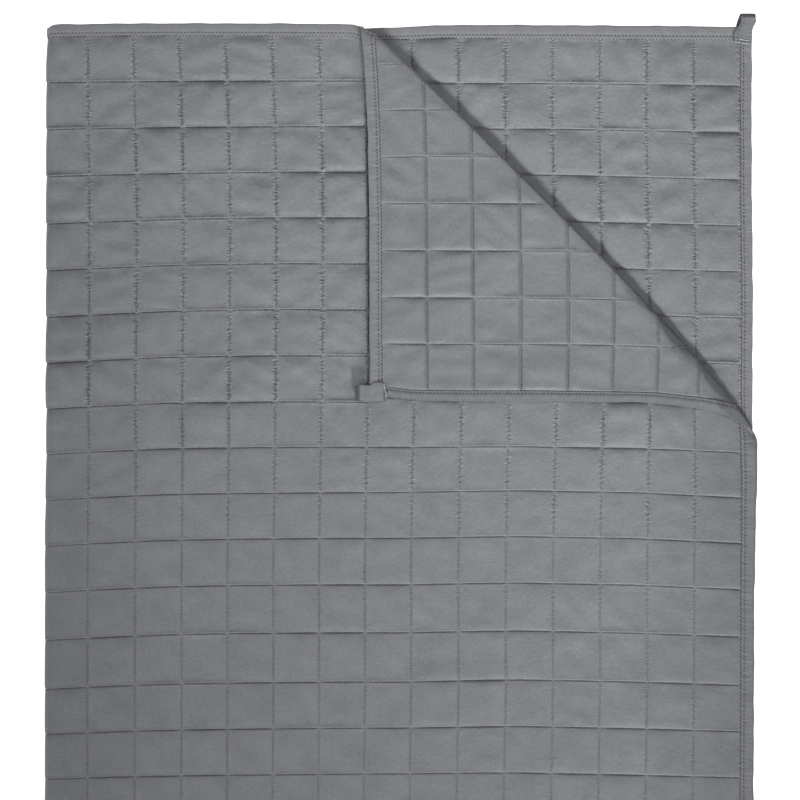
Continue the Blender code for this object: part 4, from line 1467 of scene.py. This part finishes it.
# %% Make rows of stitches
STITCH_STEP = 2.9 * MM
STITCH_LENGTH = 2.1 * MM
STITCH_HALF_WIDTH = 0.32 * MM
STITCH_RISE = 0.3 * MM
STITCH_SEED = 5
# How much stitches differ in length, in place across the seam and in slant.
LENGTH_VARIES = 0.1
PLACE_VARIES = 0.08 * MM
SLANT_VARIES = 0.08
SPINDLE = np.array([(1, 0, 0), (-1, 0, 0), (0, 1, 0), (0, -1, 0), (0, 0, 1), (0, 0, -1)], float)
SPINDLE_FACES = ((0, 2, 4), (2, 1, 4), (1, 3, 4), (3, 0, 4), (2, 0, 5), (1, 2, 5), (3, 1, 5), (0, 3, 5))


def stitch_places(start, end, step):
    """Middles of the stitches along a line, and its direction."""
    start, end = np.array(start), np.array(end)
    length = np.linalg.norm(end - start)
    count = int(length / step)
    shares = (np.arange(count) + 0.5) / count
    return start + (end - start) * shares[:, None], np.tile((end - start) / length, (count, 1))


def stitch_mesh(name, rows, level, step=STITCH_STEP, bold=1.0):
    """rows is a list of (start, end, outer), and level the height of the stitches' middles."""
    middles, ways, outers = [], [], []
    for start, end, outer in rows:
        places, way = stitch_places(start, end, step)
        middles.append(places)
        ways.append(way)
        outers.append(np.full(len(places), outer))
    middle, way, outer = np.concatenate(middles), np.concatenate(ways), np.concatenate(outers)
    shown = ~is_covered(middle[:, 0], middle[:, 1], outer)
    middle, way, outer = middle[shown], way[shown], outer[shown]
    shake = np.random.default_rng(STITCH_SEED).normal(0, 1, (len(middle), 3))
    length = STITCH_LENGTH / 2 * (1 + LENGTH_VARIES * shake[:, 0])
    across = np.stack([-way[:, 1], way[:, 0]], axis=1)
    middle = middle + across * shake[:, 1:2] * PLACE_VARIES
    lean = way + across * shake[:, 2:3] * SLANT_VARIES
    reach = lean[:, None, :] * (SPINDLE[:, 0][None, :, None] * length[:, None, None])
    reach = reach + across[:, None, :] * (SPINDLE[:, 1] * STITCH_HALF_WIDTH * bold)[None, :, None]
    point = middle[:, None, :] + reach
    height = (level + SPINDLE[:, 2] * STITCH_RISE * bold) * np.where(outer, 1, -1)[:, None]
    laid = folded(point[..., 0].ravel(), point[..., 1].ravel(), height.ravel())
    faces = np.array(SPINDLE_FACES)[None] + len(SPINDLE) * np.arange(len(middle))[:, None, None]
    return new_mesh(name, laid, faces.reshape(-1, 3).tolist())


print("faces of one stitch:", len(SPINDLE_FACES))

# %% Sew the quilt
THREAD_OVER_SEAM = 0.22 * MM


def seams_between(first_row, last_row, sides, outer, from_column=0):
    """Lines of quilting between two rows of seams, on one face of the cloth."""
    top, bottom = -ROW_EDGES[first_row + 1], -ROW_EDGES[last_row + 1]
    start = COLUMN_EDGES[from_column] if from_column else 0.0
    lines = []
    for side in sides:
        for column in COLUMN_EDGES[1 + from_column : -2]:
            lines.append(((side * column, top), (side * column, bottom), outer))
        for row in ROW_EDGES[first_row + 2 : last_row + 2]:
            if row < ROW_EDGES[-2] - MM:
                lines.append(((side * start, -row), (side * STITCHED_HALF, -row), outer))
    return lines


head_seams = seams_between(0, HEAD_ROWS, [1], True)
turned_seams = seams_between(0, FINE_ROWS, [1, -1], False, FINE_COLUMN)
foot_seams = seams_between(HEAD_ROWS, ROWS, [1], True)
for name, rows in (("stitches_head_end", head_seams + turned_seams), ("stitches_foot_end", foot_seams)):
    finish_mesh(stitch_mesh(name, rows, SEAM_HALF + THREAD_OVER_SEAM), thread)

# %% Tack down the loops
TACK_STEP = 1.3 * MM
TACK_HEIGHT = 3.45 * MM
TACK_BOLD = 2.1
# Distances in from the side and from the head or the foot, at both ends of a tack. The first loop
# has both tacks, and each of the others has one. Those at the foot are covered and drop out.
TACKS = (((18.6 * MM, 14.9 * MM), (4.6 * MM, 17.3 * MM)), ((13.6 * MM, 12.4 * MM), (3.0 * MM, 14.4 * MM)))

tacks = []
for node, side, at_head, *_ in LOOPS:
    for ends in TACKS[: 2 if node == "loop_head_under" else 1]:
        line = [(side * (HALF_WIDTH - inset), -down if at_head else -LENGTH + down) for inset, down in ends]
        tacks.append((*line, False))
tack_mesh = stitch_mesh("loop_tacks", tacks, TACK_HEIGHT, TACK_STEP, TACK_BOLD)
finish_mesh(tack_mesh, tack_thread)
